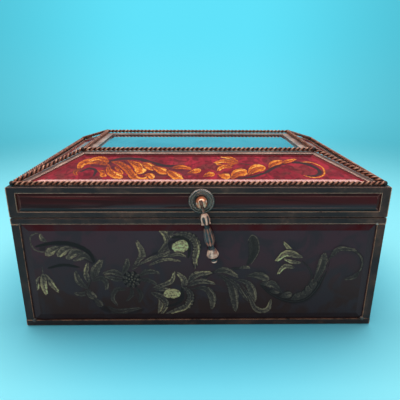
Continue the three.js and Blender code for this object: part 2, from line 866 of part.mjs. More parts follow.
// Outline of the drop below its tongue: shares of the greatest radius and of the length from the
// cap to the tip, from the leaf cap over the long vase and the flared collar to the end knob
const dropShares = [
  [0.3, 0],
  [0.5, 0.02],
  [0.62, 0.08],
  [0.66, 0.15],
  [0.56, 0.215],
  [0.42, 0.235],
  [0.5, 0.27],
  [0.72, 0.38],
  [0.82, 0.48],
  [0.74, 0.575],
  [0.44, 0.645],
  [0.42, 0.665],
  [0.7, 0.72],
  [0.96, 0.785],
  [1, 0.82],
  [0.78, 0.868],
  [0.36, 0.89],
  [0.5, 0.925],
  [0.46, 0.965],
  [0.22, 0.995],
];
const fluteFirst = 6;
const fluteLast = 9;
const fluteDepthShare = 0.1;

function pullDrop() {
  const radius = dropWidth / 2;
  const length = dropReach - capStart;
  const points = dropShares.map(([r, y]) => new THREE.Vector2(radius * r, length * y));
  const outline = [new THREE.Vector2(0, 0), ...points, new THREE.Vector2(0, length)];
  const body = new THREE.LatheGeometry(outline, fluteSides);
  const fluteFrom = length * dropShares[fluteFirst][1];
  const fluteTo = length * dropShares[fluteLast][1];
  reshape(body, (point) => {
    const step = Math.round((Math.atan2(point.x, point.z) / (2 * Math.PI)) * fluteSides);
    const inFlutes = point.y > fluteFrom - fit && point.y < fluteTo + fit;
    if (inFlutes && Math.abs(step) % 2 === 1) {
      point.x *= 1 - fluteDepthShare;
      point.z *= 1 - fluteDepthShare;
    }
  });
  body.rotateX(-quarterTurn).translate(0, 0, -capStart);
  const eye = new THREE.CylinderGeometry(tongueEye / 2, tongueEye / 2, tongueThickness, latheSides);
  eye.rotateZ(quarterTurn);
  const neck = block(
    corner(-tongueThickness / 2, -tongueThickness / 2, -capStart - neckOverlap),
    corner(tongueThickness / 2, tongueThickness / 2, 0),
  );
  const balls = [-1, 1].map((sign) => {
    const ball = new THREE.SphereGeometry(ballDiameter / 2, roundSides, roundSides / 2);
    return ball.translate((sign * (ballSpread - ballDiameter)) / 2, 0, -ballReach);
  });
  const bore = new THREE.CylinderGeometry(
    pinDiameter / 2 + pinPlay,
    pinDiameter / 2 + pinPlay,
    tongueThickness + cutOverrun,
    roundSides,
  );
  const drop = cutAway(joinAll(body, eye, neck, ...balls), bore.rotateZ(quarterTurn));
  return drop.translate(0, -plateFront - pivotHeight, pivotRise);
}

function dropPull() {
  const group = new THREE.Group();
  group.position.set(pullOffCentre, -halfDepth, pullHeight);
  group.rotation.y = -THREE.MathUtils.degToRad(pullLean);
  group.add(
    piece('pull_plate', pullPlate(), finishes.agedCopper),
    piece('pull_boss', pullBoss(), finishes.copper),
    piece('pull_pin', pullPin(), finishes.agedCopper),
    piece('pull_nut', pullNut(), finishes.agedCopper),
    piece('pull_drop', pullDrop(), finishes.agedCopper),
  );
  return group;
}

// Assembly

function lidWall(wall) {
  const group = new THREE.Group();
  group.rotation.z = wall.turn * quarterTurn;
  group.add(lidBand(wall), lidBandGlass(wall), roofPane(wall), topBar(wall));
  return group;
}

function hips() {
  const group = new THREE.Group();
  const corners = [
    ['front_left', -1, -1],
    ['front_right', 1, -1],
    ['back_right', 1, 1],
    ['back_left', -1, 1],
  ];
  corners.forEach(([name, signX, signY]) => {
    group.add(
      piece(`hip_${name}_bar`, hipBar(signX, signY), finishes.roofMetal),
      piece(`hip_${name}_wire`, hipWire(signX, signY), finishes.wire),
    );
  });
  return group;
}

function wireTrims() {
  const group = new THREE.Group();
  const eave = piece(
    'eave_wire',
    wireLoop(halfWidth - eaveWireInset, halfDepth - eaveWireInset),
    finishes.wire,
  );
  eave.position.z = eaveWireHeight;
  const top = piece(
    'top_wire',
    wireLoop(halfWidth - topInsetWide - topWireInset, halfDepth - topInsetDeep - topWireInset),
    finishes.wire,
  );
  top.position.z = topWireHeight;
  group.add(eave, top);
  return group;
}

const body = new THREE.Group();
body.add(...walls.map(boxWall), boxFloor(), piece('hinge_box_leaf', hingeLeaf(false), finishes.frameMetal));

const lid = new THREE.Group();
lid.add(
  ...walls.map(lidWall),
  hips(),
  wireTrims(),
  topGlass(),
  piece('lid_lining', lidLining(), finishes.velvet),
  piece('hinge_lid_leaf', hingeLeaf(true), finishes.frameMetal),
  piece('hinge_rod', hingeRod(), finishes.frameMetal),
  dropPull(),
);

const box = new THREE.Group();
box.add(body, lid);

export default box;
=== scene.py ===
"""Looks of a glazed metal box with a hinged, hipped lid.

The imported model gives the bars, panes, boards and hinge at their real size. This script gives them
their finishes, paints the foliage on the panes, twists the wire trim, casts the drop pull in
detail, lines the inside with velvet, and sets up the floor, the lamps and the camera.
Metres, +Z up, and the front of the box faces -Y.
"""

from __future__ import annotations

import json
import logging
import math
from collections.abc import Callable, Iterable, Mapping, Sequence
from dataclasses import dataclass
from enum import Enum

import bmesh
import bpy
from mathutils import Matrix, Vector, noise


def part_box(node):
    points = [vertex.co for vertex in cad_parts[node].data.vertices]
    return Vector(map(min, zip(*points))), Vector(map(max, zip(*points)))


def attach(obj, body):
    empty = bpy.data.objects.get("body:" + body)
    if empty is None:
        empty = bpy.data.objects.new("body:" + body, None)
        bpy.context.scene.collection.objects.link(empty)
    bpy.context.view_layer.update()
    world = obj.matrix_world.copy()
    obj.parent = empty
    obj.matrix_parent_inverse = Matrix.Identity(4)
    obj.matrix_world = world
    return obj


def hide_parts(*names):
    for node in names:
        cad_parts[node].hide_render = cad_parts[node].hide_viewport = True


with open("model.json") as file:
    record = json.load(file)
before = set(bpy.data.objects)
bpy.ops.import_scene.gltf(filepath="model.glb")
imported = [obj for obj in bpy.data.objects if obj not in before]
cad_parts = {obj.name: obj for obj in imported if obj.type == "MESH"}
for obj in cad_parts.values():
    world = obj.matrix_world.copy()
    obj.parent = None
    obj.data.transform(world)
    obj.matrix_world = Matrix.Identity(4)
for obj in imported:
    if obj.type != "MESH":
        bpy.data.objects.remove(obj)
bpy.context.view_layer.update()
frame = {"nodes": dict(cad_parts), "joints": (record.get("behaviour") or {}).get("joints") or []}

MM = 0.001
WALLS = ("front", "right", "back", "left")
CORNERS = ("front_left", "front_right", "back_right", "back_left")
LOG = logging.getLogger("box")

Material = bpy.types.Material
Mesh = bpy.types.Mesh
Pair = tuple[float, float]
Triple = tuple[float, float, float]
Colour = tuple[float, float, float, float]
Spot = Vector
Shares = Sequence[float]


def srgb(code: int) -> Colour:
    """Linear colour of a display colour.

    Args:
        code: the display colour as 0xRRGGBB.

    Returns:
        Red, green, blue and alpha, linear.
    """
    channels = [(code >> shift & 255) / 255 for shift in (16, 8, 0)]
    red, green, blue = (c / 12.92 if c <= 0.04045 else ((c + 0.055) / 1.055) ** 2.4 for c in channels)
    return (red, green, blue, 1.0)


def put(thing: bpy.types.Object) -> None:
    """Puts an object into the scene."""
    bpy.context.scene.collection.objects.link(thing)


# Shader and geometry graphs


def operator(operation: str, swapped: bool = False) -> Callable[[Signal, Signal | float], Signal]:
    """Makes a method that adds a Math node.

    Args:
        operation: the node's operation.
        swapped: whether the other value comes first.

    Returns:
        The method.
    """

    def method(self: Signal, other: Signal | float) -> Signal:
        """Adds the node and takes its value."""
        return self.math(operation, *((other, self) if swapped else (self, other)))

    return method


class Signal:
    """A socket of a graph. Python's operators on it add Math nodes."""

    def __init__(self, graph: Graph, socket: bpy.types.NodeSocket) -> None:
        """Keeps the graph and the socket that the value comes out of."""
        self.graph = graph
        self.socket = socket

    def math(self, operation: str, *operands: Signal | float) -> Signal:
        """Adds a Math node and takes its value."""
        made = self.graph.node("ShaderNodeMath", {"operation": operation}, dict(enumerate(operands)))
        return Signal(self.graph, made.outputs[0])

    __add__ = __radd__ = operator("ADD")
    __sub__ = operator("SUBTRACT")
    __rsub__ = operator("SUBTRACT", swapped=True)
    __mul__ = __rmul__ = operator("MULTIPLY")
    __truediv__ = operator("DIVIDE")
    top = operator("MAXIMUM")

    def __abs__(self) -> Signal:
        """Size without sign."""
        return self.math("ABSOLUTE", self)

    def ramp(self, low: float, high: float) -> Signal:
        """Rises smoothly from 0 at low to 1 at high.

        Args:
            low: the value that gives 0.
            high: the value that gives 1; below low, the ramp falls instead.

        Returns:
            A value from 0 to 1.
        """
        if high < low:
            return 1.0 - self.ramp(high, low)
        settings = {"interpolation_type": "SMOOTHSTEP"}
        made = self.graph.node("ShaderNodeMapRange", settings, {0: self, 1: low, 2: high})
        return Signal(self.graph, made.outputs[0])


Value = Signal | float | Colour | Sequence[float]


class Graph:
    """A node graph that is being wired up."""

    def __init__(self, tree: bpy.types.NodeTree) -> None:
        """Starts on an empty tree."""
        self.tree = tree
        tree.nodes.clear()

    def node(
        self,
        kind: str,
        settings: Mapping[str, object] | None = None,
        inputs: Mapping[int | str, Value] | None = None,
    ) -> bpy.types.Node:
        """Adds a node.

        Args:
            kind: the node's type.
            settings: its properties; "stops" holds a colour ramp's places and colours.
            inputs: values or signals for its sockets, by name or number.

        Returns:
            The node.
        """
        made = self.tree.nodes.new(kind)
        for key, value in (settings or {}).items():
            if key == "stops":
                self._set_stops(made.color_ramp, value)
            else:
                setattr(made, key, value)
        for key, value in (inputs or {}).items():
            if isinstance(value, Signal):
                self.tree.links.new(value.socket, made.inputs[key])
            else:
                made.inputs[key].default_value = value
        return made

    def signal(self, kind: str, output: int | str, *args: Mapping | None) -> Signal:
        """Adds a node from its type, settings and inputs, and takes one of its outputs."""
        return Signal(self, self.node(kind, *args).outputs[output])

    def vector(self, operation: str, *operands: Value, output: int | str = 0) -> Signal:
        """Adds a Vector Math node and takes its vector or its value."""
        inputs = dict(enumerate(operands))
        return self.signal("ShaderNodeVectorMath", output, {"operation": operation}, inputs)

    @staticmethod
    def _set_stops(colour_ramp: bpy.types.ColorRamp, stops: Sequence[tuple[float, Colour]]) -> None:
        """Puts the stops into a colour ramp that has two to start with.

        Args:
            colour_ramp: the ramp.
            stops: the place and the colour of each stop.
        """
        for place, colour in stops[2:]:
            colour_ramp.elements.new(place)
        for element, (place, colour) in zip(colour_ramp.elements, stops):
            element.position = place
            element.color = colour


class Shader(Graph):
    """The graph of one material."""

    edge_samples = 6
    bump_samples = 4

    def __init__(self, name: str) -> None:
        """Makes the material.

        Args:
            name: its name.
        """
        self.material = bpy.data.materials.new(name)
        self.material.use_nodes = True
        super().__init__(self.material.node_tree)

    def place(self) -> Signal:
        """Object coordinates."""
        return self.signal("ShaderNodeTexCoord", "Object")

    def facing(self) -> Signal:
        """The surface's direction in the object's own frame."""
        return self.signal("ShaderNodeTexCoord", "Normal")

    def attribute(self, name: str, output: str = "Fac") -> Signal:
        """A named attribute of the mesh."""
        return self.signal("ShaderNodeAttribute", output, {"attribute_name": name})

    def along(self, vector: Signal, direction: Sequence[float]) -> Signal:
        """How far a vector goes in a direction."""
        return self.vector("DOT_PRODUCT", vector, direction, output="Value")

    def stretched(self, vector: Signal, factors: Sequence[float]) -> Signal:
        """A vector times a factor on each axis."""
        return self.vector("MULTIPLY", vector, tuple(factors))

    def noise(
        self, vector: Signal, scale: float, detail: float = 3, warp: float = 0, stretch: Shares = ()
    ) -> Signal:
        """Smooth noise around 0.5.

        Args:
            vector: where it is read.
            scale: its waves in a metre.
            detail: its octaves.
            warp: its distortion.
            stretch: factors on the vector, if it is stretched.

        Returns:
            The noise.
        """
        if stretch:
            vector = self.stretched(vector, stretch)
        inputs = {"Vector": vector, "Scale": scale, "Detail": detail, "Distortion": warp}
        return self.signal("ShaderNodeTexNoise", 0, {}, inputs)

    def mix(self, share: Signal | float, first: Signal | Colour, second: Signal | Colour) -> Signal:
        """Colour between two colours: the first at a share of 0, the second at 1."""
        return self.signal("ShaderNodeMix", 2, {"data_type": "RGBA"}, {0: share, 6: first, 7: second})

    def edges(self, radius: float) -> Signal:
        """How near an outer or inner edge is: 0 on open faces, up to about 0.3 on a square edge.

        Args:
            radius: how far from an edge it is felt.

        Returns:
            The turn of the rounded surface away from the true one.
        """
        rounded = self.signal("ShaderNodeBevel", 0, {"samples": self.edge_samples}, {"Radius": radius})
        true = self.signal("ShaderNodeNewGeometry", "Normal")
        return 1.0 - self.vector("DOT_PRODUCT", rounded, true, output="Value")

    def cavity(self, reach: float) -> Signal:
        """How hidden a place is, from ambient occlusion: 0 on open faces and towards 1 in creases narrower
        than the reach; it paints shade into colour.
        """
        settings = {"samples": self.edge_samples, "only_local": True}
        return 1.0 - self.signal("ShaderNodeAmbientOcclusion", "AO", settings, {"Distance": reach})

    def bump(self, height: Signal, depth: float, radius: float = 0) -> Signal:
        """A surface with a relief.

        Args:
            height: the relief, from 0 to 1.
            depth: its depth in metres.
            radius: how far edges are rounded under it.

        Returns:
            The direction of the surface.
        """
        inputs: dict[int | str, Value] = {"Height": height, "Distance": depth, "Strength": 1.0}
        if radius:
            samples = {"samples": self.bump_samples}
            inputs["Normal"] = self.signal("ShaderNodeBevel", 0, samples, {"Radius": radius})
        return self.signal("ShaderNodeBump", 0, {}, inputs)

    def surface(self, **inputs: Value) -> Material:
        """Ends the graph in one principled surface.

        Args:
            inputs: the shader's sockets by name, with _ for a space.

        Returns:
            The finished material.
        """
        named = {key.replace("_", " "): value for key, value in inputs.items()}
        shader = self.signal("ShaderNodeBsdfPrincipled", 0, {}, named)
        self.node("ShaderNodeOutputMaterial", {}, {"Surface": shader})
        return self.material


class Build(Graph):
    """The graph of one Geometry Nodes tree, with named inputs."""

    def __init__(self, name: str, **sizes: float | Sequence[float]) -> None:
        """Makes the tree.

        Args:
            name: the tree's name.
            sizes: the value of each named input, a number or a vector.
        """
        tree = bpy.data.node_groups.new(name, "GeometryNodeTree")
        super().__init__(tree)
        interface = tree.interface
        interface.new_socket("Path", in_out="INPUT", socket_type="NodeSocketGeometry")
        interface.new_socket("Pieces", in_out="OUTPUT", socket_type="NodeSocketGeometry")
        self.values: dict[str, float | Sequence[float]] = {}
        for key, value in sizes.items():
            kind = "NodeSocketFloat" if isinstance(value, float) else "NodeSocketVector"
            socket = interface.new_socket(key, in_out="INPUT", socket_type=kind)
            self.values[socket.identifier] = value
        self._entry = self.node("NodeGroupInput")

    def given(self, name: str) -> Signal:
        """A named input of the tree."""
        return Signal(self, self._entry.outputs[name])

    def geo(self, kind: str, settings: Mapping[str, object] | None = None, **inputs: Value) -> Signal:
        """Adds a geometry node, its inputs by name with _ for a space, and takes its first output."""
        named = {key.replace("_", " "): value for key, value in inputs.items()}
        return self.signal(f"GeometryNode{kind}", 0, settings, named)

    def scaled(self, vector: Signal, factor: Signal | float) -> Signal:
        """A vector times a number."""
        return self.signal("ShaderNodeVectorMath", 0, {"operation": "SCALE"}, {0: vector, "Scale": factor})

    def join(self, *parts: Signal) -> Signal:
        """Several geometries as one, shaded smooth.

        Args:
            parts: the geometries.

        Returns:
            All of them.
        """
        joined = self.node("GeometryNodeJoinGeometry")
        for part in parts:
            self.tree.links.new(part.socket, joined.inputs[0])
        return self.geo("SetShadeSmooth", Geometry=Signal(self, joined.outputs[0]))

    def run(self, path: Mesh, result: Signal, finish: Material) -> Mesh:
        """Ends the tree, runs it on a mesh and takes the result as a plain mesh.

        Args:
            path: the mesh that the tree starts from.
            result: the geometry that it ends in.
            finish: the material of all of it.

        Returns:
            The made mesh, with its faces pointing out.
        """
        real = self.geo("RealizeInstances", Geometry=result)
        dressed = self.geo("SetMaterial", Geometry=real, Material=finish)
        self.node("NodeGroupOutput", {}, {0: dressed})
        host = bpy.data.objects.new("host", path)
        put(host)
        modifier = host.modifiers.new("build", "NODES")
        modifier.node_group = self.tree
        for identifier, value in self.values.items():
            modifier[identifier] = value
        graph = bpy.context.evaluated_depsgraph_get()
        made = bpy.data.meshes.new_from_object(
            host.evaluated_get(graph), preserve_all_data_layers=True, depsgraph=graph
        )
        bpy.data.objects.remove(host)
        cleaned(made, DOUBLED)
        return made


DOUBLED = 1e-7


def cleaned(mesh: Mesh, near: float, slivers: bool = False) -> None:
    """Merges doubled corners, and makes every face point out or drops the slivers.

    Args:
        mesh: the mesh.
        near: how near corners are merged.
        slivers: whether faces without area are dropped, with the rest left as they point.
    """
    shell = bmesh.new()
    shell.from_mesh(mesh)
    bmesh.ops.remove_doubles(shell, verts=shell.verts, dist=near)
    if slivers:
        bmesh.ops.dissolve_degenerate(shell, edges=shell.edges, dist=near)
    else:
        bmesh.ops.recalc_face_normals(shell, faces=shell.faces)
    shell.to_mesh(mesh)
    shell.free()


# Finishes


@dataclass(frozen=True)
class WornMetal:
    """Metal under a dark tarnish that has rubbed off along its edges, with painted shade in its creases."""

    name: str
    dark: Colour
    tarnish: Colour
    bright: Colour
    metal: float = 0.5
    rubbed: float = 1.0
    patches: float = 0.5
    roughness: float = 0.36
    gloss: float = 0.5
    line: float = 0.8 * MM
    # How far the painted shade in creases reaches, and its colour.
    crease: float = 1.4 * MM
    crease_shade: Colour = srgb(0x120D0C)

    def build(self) -> Material:
        """Makes the material."""
        shader = Shader(self.name)
        place = shader.place()
        cloud = shader.noise(place, 48, 5, 0.6)
        grime = shader.noise(place, 210, 4)
        grain = shader.noise(place, 1500, 3)
        edge = shader.edges(self.line).ramp(0.01, 0.07)
        wear = edge * (grime + 0.35 * cloud).ramp(0.75 - self.rubbed * 0.4, 1.0 - self.rubbed * 0.3)
        rub = (cloud * 0.6 + grime * 0.4).ramp(0.54, 0.68) * self.patches
        bright = wear.top(rub)
        patina_and_painted_light = shader.mix(cloud.ramp(0.38, 0.66), self.dark, self.tarnish)
        # Painted shade: ambient occlusion darkens the colour in creases and recesses.
        patina_and_painted_light = shader.mix(shader.cavity(self.crease).ramp(0.12, 0.6), patina_and_painted_light, self.crease_shade)
        relief = grime * 0.5 + grain * 0.5 - edge * 0.2
        return shader.surface(
            Base_Color=shader.mix(bright, patina_and_painted_light, self.bright),
            Metallic=self.metal + 0.4 * bright * (0.95 - self.metal),
            Roughness=self.roughness + 0.22 * grime - 0.12 * bright,
            Specular_IOR_Level=self.gloss,
            Normal=shader.bump(relief, 0.16 * MM, 0.35 * MM),
        )


@dataclass(frozen=True)
class ReliefMetal:
    """Metal with painted shade in its grooves, painted highlights on its ridges, and patches of painted
    reflection.
    """

    name: str
    groove_shade: Colour
    crest: Colour
    glint: Colour
    metal: float
    roughness: float
    painted_reflection_share: float
    start: float
    # The colour of the patches of painted reflection.
    patina_and_painted_light: Colour = srgb(0x4C585C)

    def build(self) -> Material:
        """Makes the material, which reads the crest attribute."""
        shader = Shader(self.name)
        place = shader.place()
        grime = shader.noise(place, 260, 4)
        grain = shader.noise(place, 2200, 2)
        height = shader.attribute("crest") + (grime - 0.5) * 0.5
        # Painted shade and light: dark in the grooves, lighter on the crests.
        lit = shader.mix(height.ramp(self.start, self.start + 0.32), self.groove_shade, self.crest)
        # Painted reflection: blue-grey patches where the metal would mirror its surroundings.
        patch = shader.noise(place, 150, 3, 0.6).ramp(0.46, 0.6) * self.painted_reflection_share
        lit = shader.mix(patch, lit, self.patina_and_painted_light)
        # Painted highlight on the highest crests.
        glint = height.ramp(self.start + 0.3, self.start + 0.52) * grime.ramp(0.3, 0.55)
        return shader.surface(
            Base_Color=shader.mix(glint, lit, self.glint),
            Metallic=self.metal * (0.6 + 0.4 * height.ramp(0.4, 0.8)),
            Roughness=self.roughness - 0.15 * height.ramp(0.5, 0.95) + 0.15 * grain,
            Normal=shader.bump(grain * 0.5 + grime * 0.5, 0.12 * MM),
        )


@dataclass(frozen=True)
class BackPaintedGlass:
    """Clear polished glass over a painted ground, with painted reflection in a tint for each bevel and
    towards the foot, and, where given, a painted highlight along the bevels' ridges.
    """

    name: str
    ground: Colour
    cloud: Colour
    stain: Colour
    # Painted reflection: the tint of each bevel by the way it leans.
    upper_bevel_reflection: Colour
    lower_bevel_reflection: Colour
    side_bevel_reflection: Colour
    mottle: float
    streak: Triple = (1.0, 1.0, 1.0)
    # The painted reflection of the floor towards the foot, and the heights over which it fades in.
    foot: Colour = srgb(0)
    foot_heights: Pair = (-2.0, -1.0)
    veins: float = 0.85
    haze: Colour = srgb(0)
    haze_share: float = 0.0
    # A painted highlight along the bevels' ridges, and how strong it is.
    ridge: Colour = srgb(0)
    ridge_highlight_share: float = 0.0
    polish: float = 0.05
    ior: float = 1.4

    def ground_colour(self, shader: Shader) -> Signal:
        """The clouded and mottled ground, with a painted reflection of the floor towards its foot, as it
        shows where nothing is painted over it.

        Args:
            shader: the material's graph.

        Returns:
            The ground's colour.
        """
        spot = shader.place()
        place = shader.stretched(spot, self.streak)
        wash = shader.noise(place, self.mottle * 0.3, 4, 0.8)
        mottle = shader.noise(place, self.mottle, 6, 1.2)
        ground = shader.mix(wash.ramp(0.38, 0.64), self.ground, self.cloud)
        low, high = self.foot_heights
        height = shader.along(spot, (0, 0, 1)) + (wash - 0.5) * 0.3 * (high - low)
        # Painted reflection: below these heights the ground turns to the floor's reflected colour.
        ground = shader.mix(height.ramp(low, high), self.foot, ground)
        if self.haze_share:
            haze = shader.noise(place, self.mottle * 0.42, 5, 0.5)
            ground = shader.mix(haze.ramp(0.48, 0.66) * self.haze_share, ground, self.haze)
        return shader.mix(mottle.ramp(0.45, 0.62) * self.veins, ground, self.stain)

    def build(self, pane: Pane) -> Material:
        """Makes the material.

        Args:
            pane: the pane whose bevels it tells apart by the way they lean.

        Returns:
            The material.
        """
        shader = Shader(f"{self.name}_{pane.node}")
        place = shader.place()
        facing = shader.facing()
        dust = shader.noise(place, 900, 4)
        smear = shader.noise(place, 22, 3, 0.5, stretch=(1.0, 1.0, 2.5))
        clear = 1.0 - shader.noise(place, self.mottle, 6, 1.2).ramp(0.3, 0.75) * 0.5
        ground = self.ground_colour(shader)
        lean_up = shader.along(facing, pane.up)
        lean_side = abs(shader.along(facing, pane.across))
        # Painted reflection: each bevel is tinted by the way that it leans.
        low_bevel_reflection = (0.0 - lean_up, self.lower_bevel_reflection)
        bevels = ((lean_up, self.upper_bevel_reflection), low_bevel_reflection, (lean_side, self.side_bevel_reflection))
        for lean, tint in bevels:
            ground = shader.mix(lean.ramp(0.03, 0.06) * clear, ground, tint)
        # Painted highlight along the ridges between the bevels and the flat middle.
        if self.ridge_highlight_share:
            uneven = shader.noise(place, 90, 3, stretch=self.streak).ramp(0.35, 0.65)
            ridge = shader.edges(1.2 * MM).ramp(0.0003, 0.003) * uneven * self.ridge_highlight_share
            ground = shader.mix(ridge, ground, self.ridge)
        return shader.surface(
            Base_Color=ground,
            Roughness=self.polish + 0.10 * smear.ramp(0.45, 0.75) + 0.05 * dust,
            Normal=shader.bump(smear * 0.9 + dust * 0.1, 0.03 * MM),
            IOR=self.ior,
        )


@dataclass(frozen=True)
class BrushedPaint:
    """Paint laid down with a brush, from its dark underlayer to its light strokes."""

    name: str
    stops: tuple[tuple[float, Colour], ...]
    polish: float = 0.08

    def build(self, glass: BackPaintedGlass) -> Material:
        """Makes the material, which reads the tone, cover and brush attributes.

        Args:
            glass: the glass whose ground shows through where the paint thins out.

        Returns:
            The material.
        """
        shader = Shader(self.name)
        brush = shader.attribute("brush", "Vector")
        streak = shader.noise(brush, 1, 4, 0.3, stretch=(0.12, 3.5, 37.0))
        patch = shader.noise(brush, 1, 3, stretch=(0.45, 1.2, 17.0))
        dust = shader.noise(shader.place(), 900, 4)
        crackle = shader.noise(shader.place(), 620, 3, 0.8).ramp(0.3, 0.62)
        tone = shader.attribute("tone") * (0.05 + 0.55 * streak + 0.35 * patch + 0.62 * crackle)
        cover = (shader.attribute("cover") + (patch - 0.5) * 0.3).ramp(0.05, 0.9)
        paint = shader.signal("ShaderNodeValToRGB", 0, {"stops": self.stops}, {0: tone})
        return shader.surface(
            Base_Color=shader.mix(cover, glass.ground_colour(shader), paint),
            Roughness=self.polish + 0.08 * dust + 0.06 * patch,
            IOR=glass.ior,
        )


@dataclass(frozen=True)
class OldMirror:
    """Silvered glass that has gone dull and specked towards its edges."""

    name: str
    silver: Colour
    dull: Colour
    speck: Colour

    def build(self, pane: Pane) -> Material:
        """Makes the material.

        Args:
            pane: the level pane that is silvered.

        Returns:
            The material.
        """
        shader = Shader(self.name)
        place = shader.place()
        cloud = shader.noise(place, 26, 5, 0.7)
        fine = shader.noise(place, 420, 4)
        reach_x = abs(shader.along(place, pane.across)) / pane.half_foot
        reach_y = abs(shader.along(place, pane.up)) / pane.half_height
        border = reach_x.top(reach_y).ramp(0.82, 1.02)
        specks = (fine + border * 0.16).ramp(0.72, 0.84)
        tired = shader.mix(cloud.ramp(0.4, 0.7), self.silver, self.dull)
        return shader.surface(
            Base_Color=shader.mix(specks, tired, self.speck),
            Metallic=0.85 - 0.4 * specks,
            Roughness=0.04 + 0.08 * cloud.ramp(0.45, 0.7) + 0.2 * specks,
            Normal=shader.bump(cloud, 0.02 * MM),
        )


@dataclass(frozen=True)
class Velvet:
    """Short pile that is light where it leans and dark where it is pressed."""

    name: str
    deep: Colour
    light: Colour

    def build(self) -> Material:
        """Makes the material."""
        shader = Shader(self.name)
        place = shader.place()
        nap = shader.noise(place, 30, 4, 0.8)
        pile = shader.noise(place, 2600, 2)
        tuft = shader.noise(place, 130, 3, 0.4, stretch=(1.0, 0.45, 1.0))
        tone = nap.ramp(0.3, 0.75) * 0.4 + tuft.ramp(0.3, 0.7) * 0.2 + pile * 0.4
        return shader.surface(
            Base_Color=shader.mix(tone, self.deep, self.light),
            Roughness=0.85 + 0.1 * pile,
            Sheen_Weight=0.7,
            Sheen_Roughness=0.4,
            Sheen_Tint=self.light,
            Normal=shader.bump(pile * 0.8 + nap * 0.2, 0.25 * MM),
        )


@dataclass(frozen=True)
class Fibrous:
    """A dull finish of two grains: crossed fibres of wool, or the rings and pores of wood.

    Each grain has its scale, its octaves, its distortion and its stretch.
    """

    name: str
    dark: Colour
    light: Colour
    coarse: tuple[float, float, float, Triple]
    fine: tuple[float, float, float, Triple]
    share: float
    roughness: float
    porous: float
    depth: float

    def build(self) -> Material:
        """Makes the material."""
        shader = Shader(self.name)
        place = shader.place()
        coarse, fine = shader.noise(place, *self.coarse), shader.noise(place, *self.fine)
        grain = coarse * self.share + fine * (1 - self.share)
        return shader.surface(
            Base_Color=shader.mix(grain.ramp(0.35, 0.65), self.dark, self.light),
            Roughness=self.roughness + self.porous * fine,
            Normal=shader.bump(grain, self.depth),
        )


FRAME_METAL = WornMetal(
    "frame_metal", srgb(0x302526), srgb(0x44322E), srgb(0xE69C78),
    metal=0.2, rubbed=0.8, patches=0.06, gloss=0.25,
)
RIM_METAL = WornMetal(
    "rim_metal", srgb(0x302526), srgb(0x44322E), srgb(0xF2B294),
    metal=0.2, rubbed=1.05, patches=0.06, gloss=0.25, crease=0.3 * MM,
)
ROOF_METAL = WornMetal(
    "roof_metal", srgb(0x96756A), srgb(0xB89484), srgb(0xF0C8B4), metal=0.3, crease_shade=srgb(0x2A1A16)
)
HINGE_METAL = WornMetal(
    "hinge_metal", srgb(0x3A2F28), srgb(0x5A4736), srgb(0xB88A5E), metal=0.4, rubbed=0.7, patches=0.25
)
PLATE_METAL = WornMetal(
    "plate_metal", srgb(0x282829), srgb(0x4C4C4C), srgb(0xD8A88C), patches=0.15, crease=0.7 * MM
)
AGED_COPPER = WornMetal(
    "aged_copper", srgb(0x6A5652), srgb(0x9C8A84), srgb(0xF4D4C4),
    metal=0.6, rubbed=1.2, patches=0.8, roughness=0.15, crease=2.0 * MM,
)
BRIGHT_COPPER = WornMetal(
    "bright_copper", srgb(0xC8744E), srgb(0xE89C78), srgb(0xFFD0B4),
    rubbed=1.2, patches=0.8, roughness=0.16, crease=1.0 * MM,
)
SOLDER = WornMetal("solder", srgb(0x54443F), srgb(0x9A867C), srgb(0xD8B8A8))
WIRE_METAL = ReliefMetal(
    "wire_metal", srgb(0x0E0706), srgb(0x86442A), srgb(0xECB08E),
    metal=0.12, roughness=0.55, painted_reflection_share=0.0, start=0.61,
)
DROP_METAL = ReliefMetal(
    "drop_metal", srgb(0x2C2424), srgb(0xBC7A62), srgb(0xFFCEB4),
    metal=0.25, roughness=0.3, painted_reflection_share=0.75, start=0.55,
)
WALL_GLASS = BackPaintedGlass(
    "wall_glass", srgb(0x3E343C), srgb(0x433039), srgb(0x332F35),
    srgb(0x44080C), srgb(0x2A1C1E), srgb(0x3A3136), mottle=42,
    foot=srgb(0x342624), foot_heights=(20 * MM, 90 * MM), ior=1.22,
)
BAND_GLASS = BackPaintedGlass(
    "band_glass", srgb(0x56181A), srgb(0x3A1A1C), srgb(0x2A1010),
    srgb(0x321613), srgb(0x2A3034), srgb(0x402420), mottle=42, streak=(0.16, 0.16, 2.6),
    foot=srgb(0x30383E), foot_heights=(116.5 * MM, 121.5 * MM),
    ridge=srgb(0xA07468), ridge_highlight_share=0.7, ior=1.22,
)
ROOF_GLASS = BackPaintedGlass(
    "roof_glass", srgb(0x7C1828), srgb(0xAA2638), srgb(0x4A141C),
    srgb(0x56161E), srgb(0xD89488), srgb(0x8C3038), mottle=150,
    veins=0.6, haze=srgb(0x6A3430), haze_share=0.6,
)
TOP_MIRROR = OldMirror("top_mirror", srgb(0xB4A6AC), srgb(0x9C929A), srgb(0x34383C))
WALL_PAINT = BrushedPaint("wall_paint", (
    (0.0, srgb(0x221D1D)),
    (0.25, srgb(0x403D3A)),
    (0.48, srgb(0x6F6A5A)),
    (0.75, srgb(0xA49F74)),
    (1.0, srgb(0xB0CA96)),
))
ROOF_PAINT = BrushedPaint("roof_paint", (
    (0.0, srgb(0x3A2428)),
    (0.25, srgb(0x7E3422)),
    (0.5, srgb(0xC4581A)),
    (0.75, srgb(0xF08E2C)),
    (1.0, srgb(0xF6BE60)),
))
BOX_VELVET = Velvet("crimson_velvet", srgb(0x2E060C), srgb(0x6A1622))
GREEN_FELT = Fibrous(
    "dark_felt", srgb(0x101613), srgb(0x232E28),
    (700, 5, 2.0, (1.0, 3.0, 1.0)), (700, 5, 2.0, (3.0, 1.0, 1.0)),
    share=0.5, roughness=0.95, porous=0.0, depth=0.3 * MM,
)
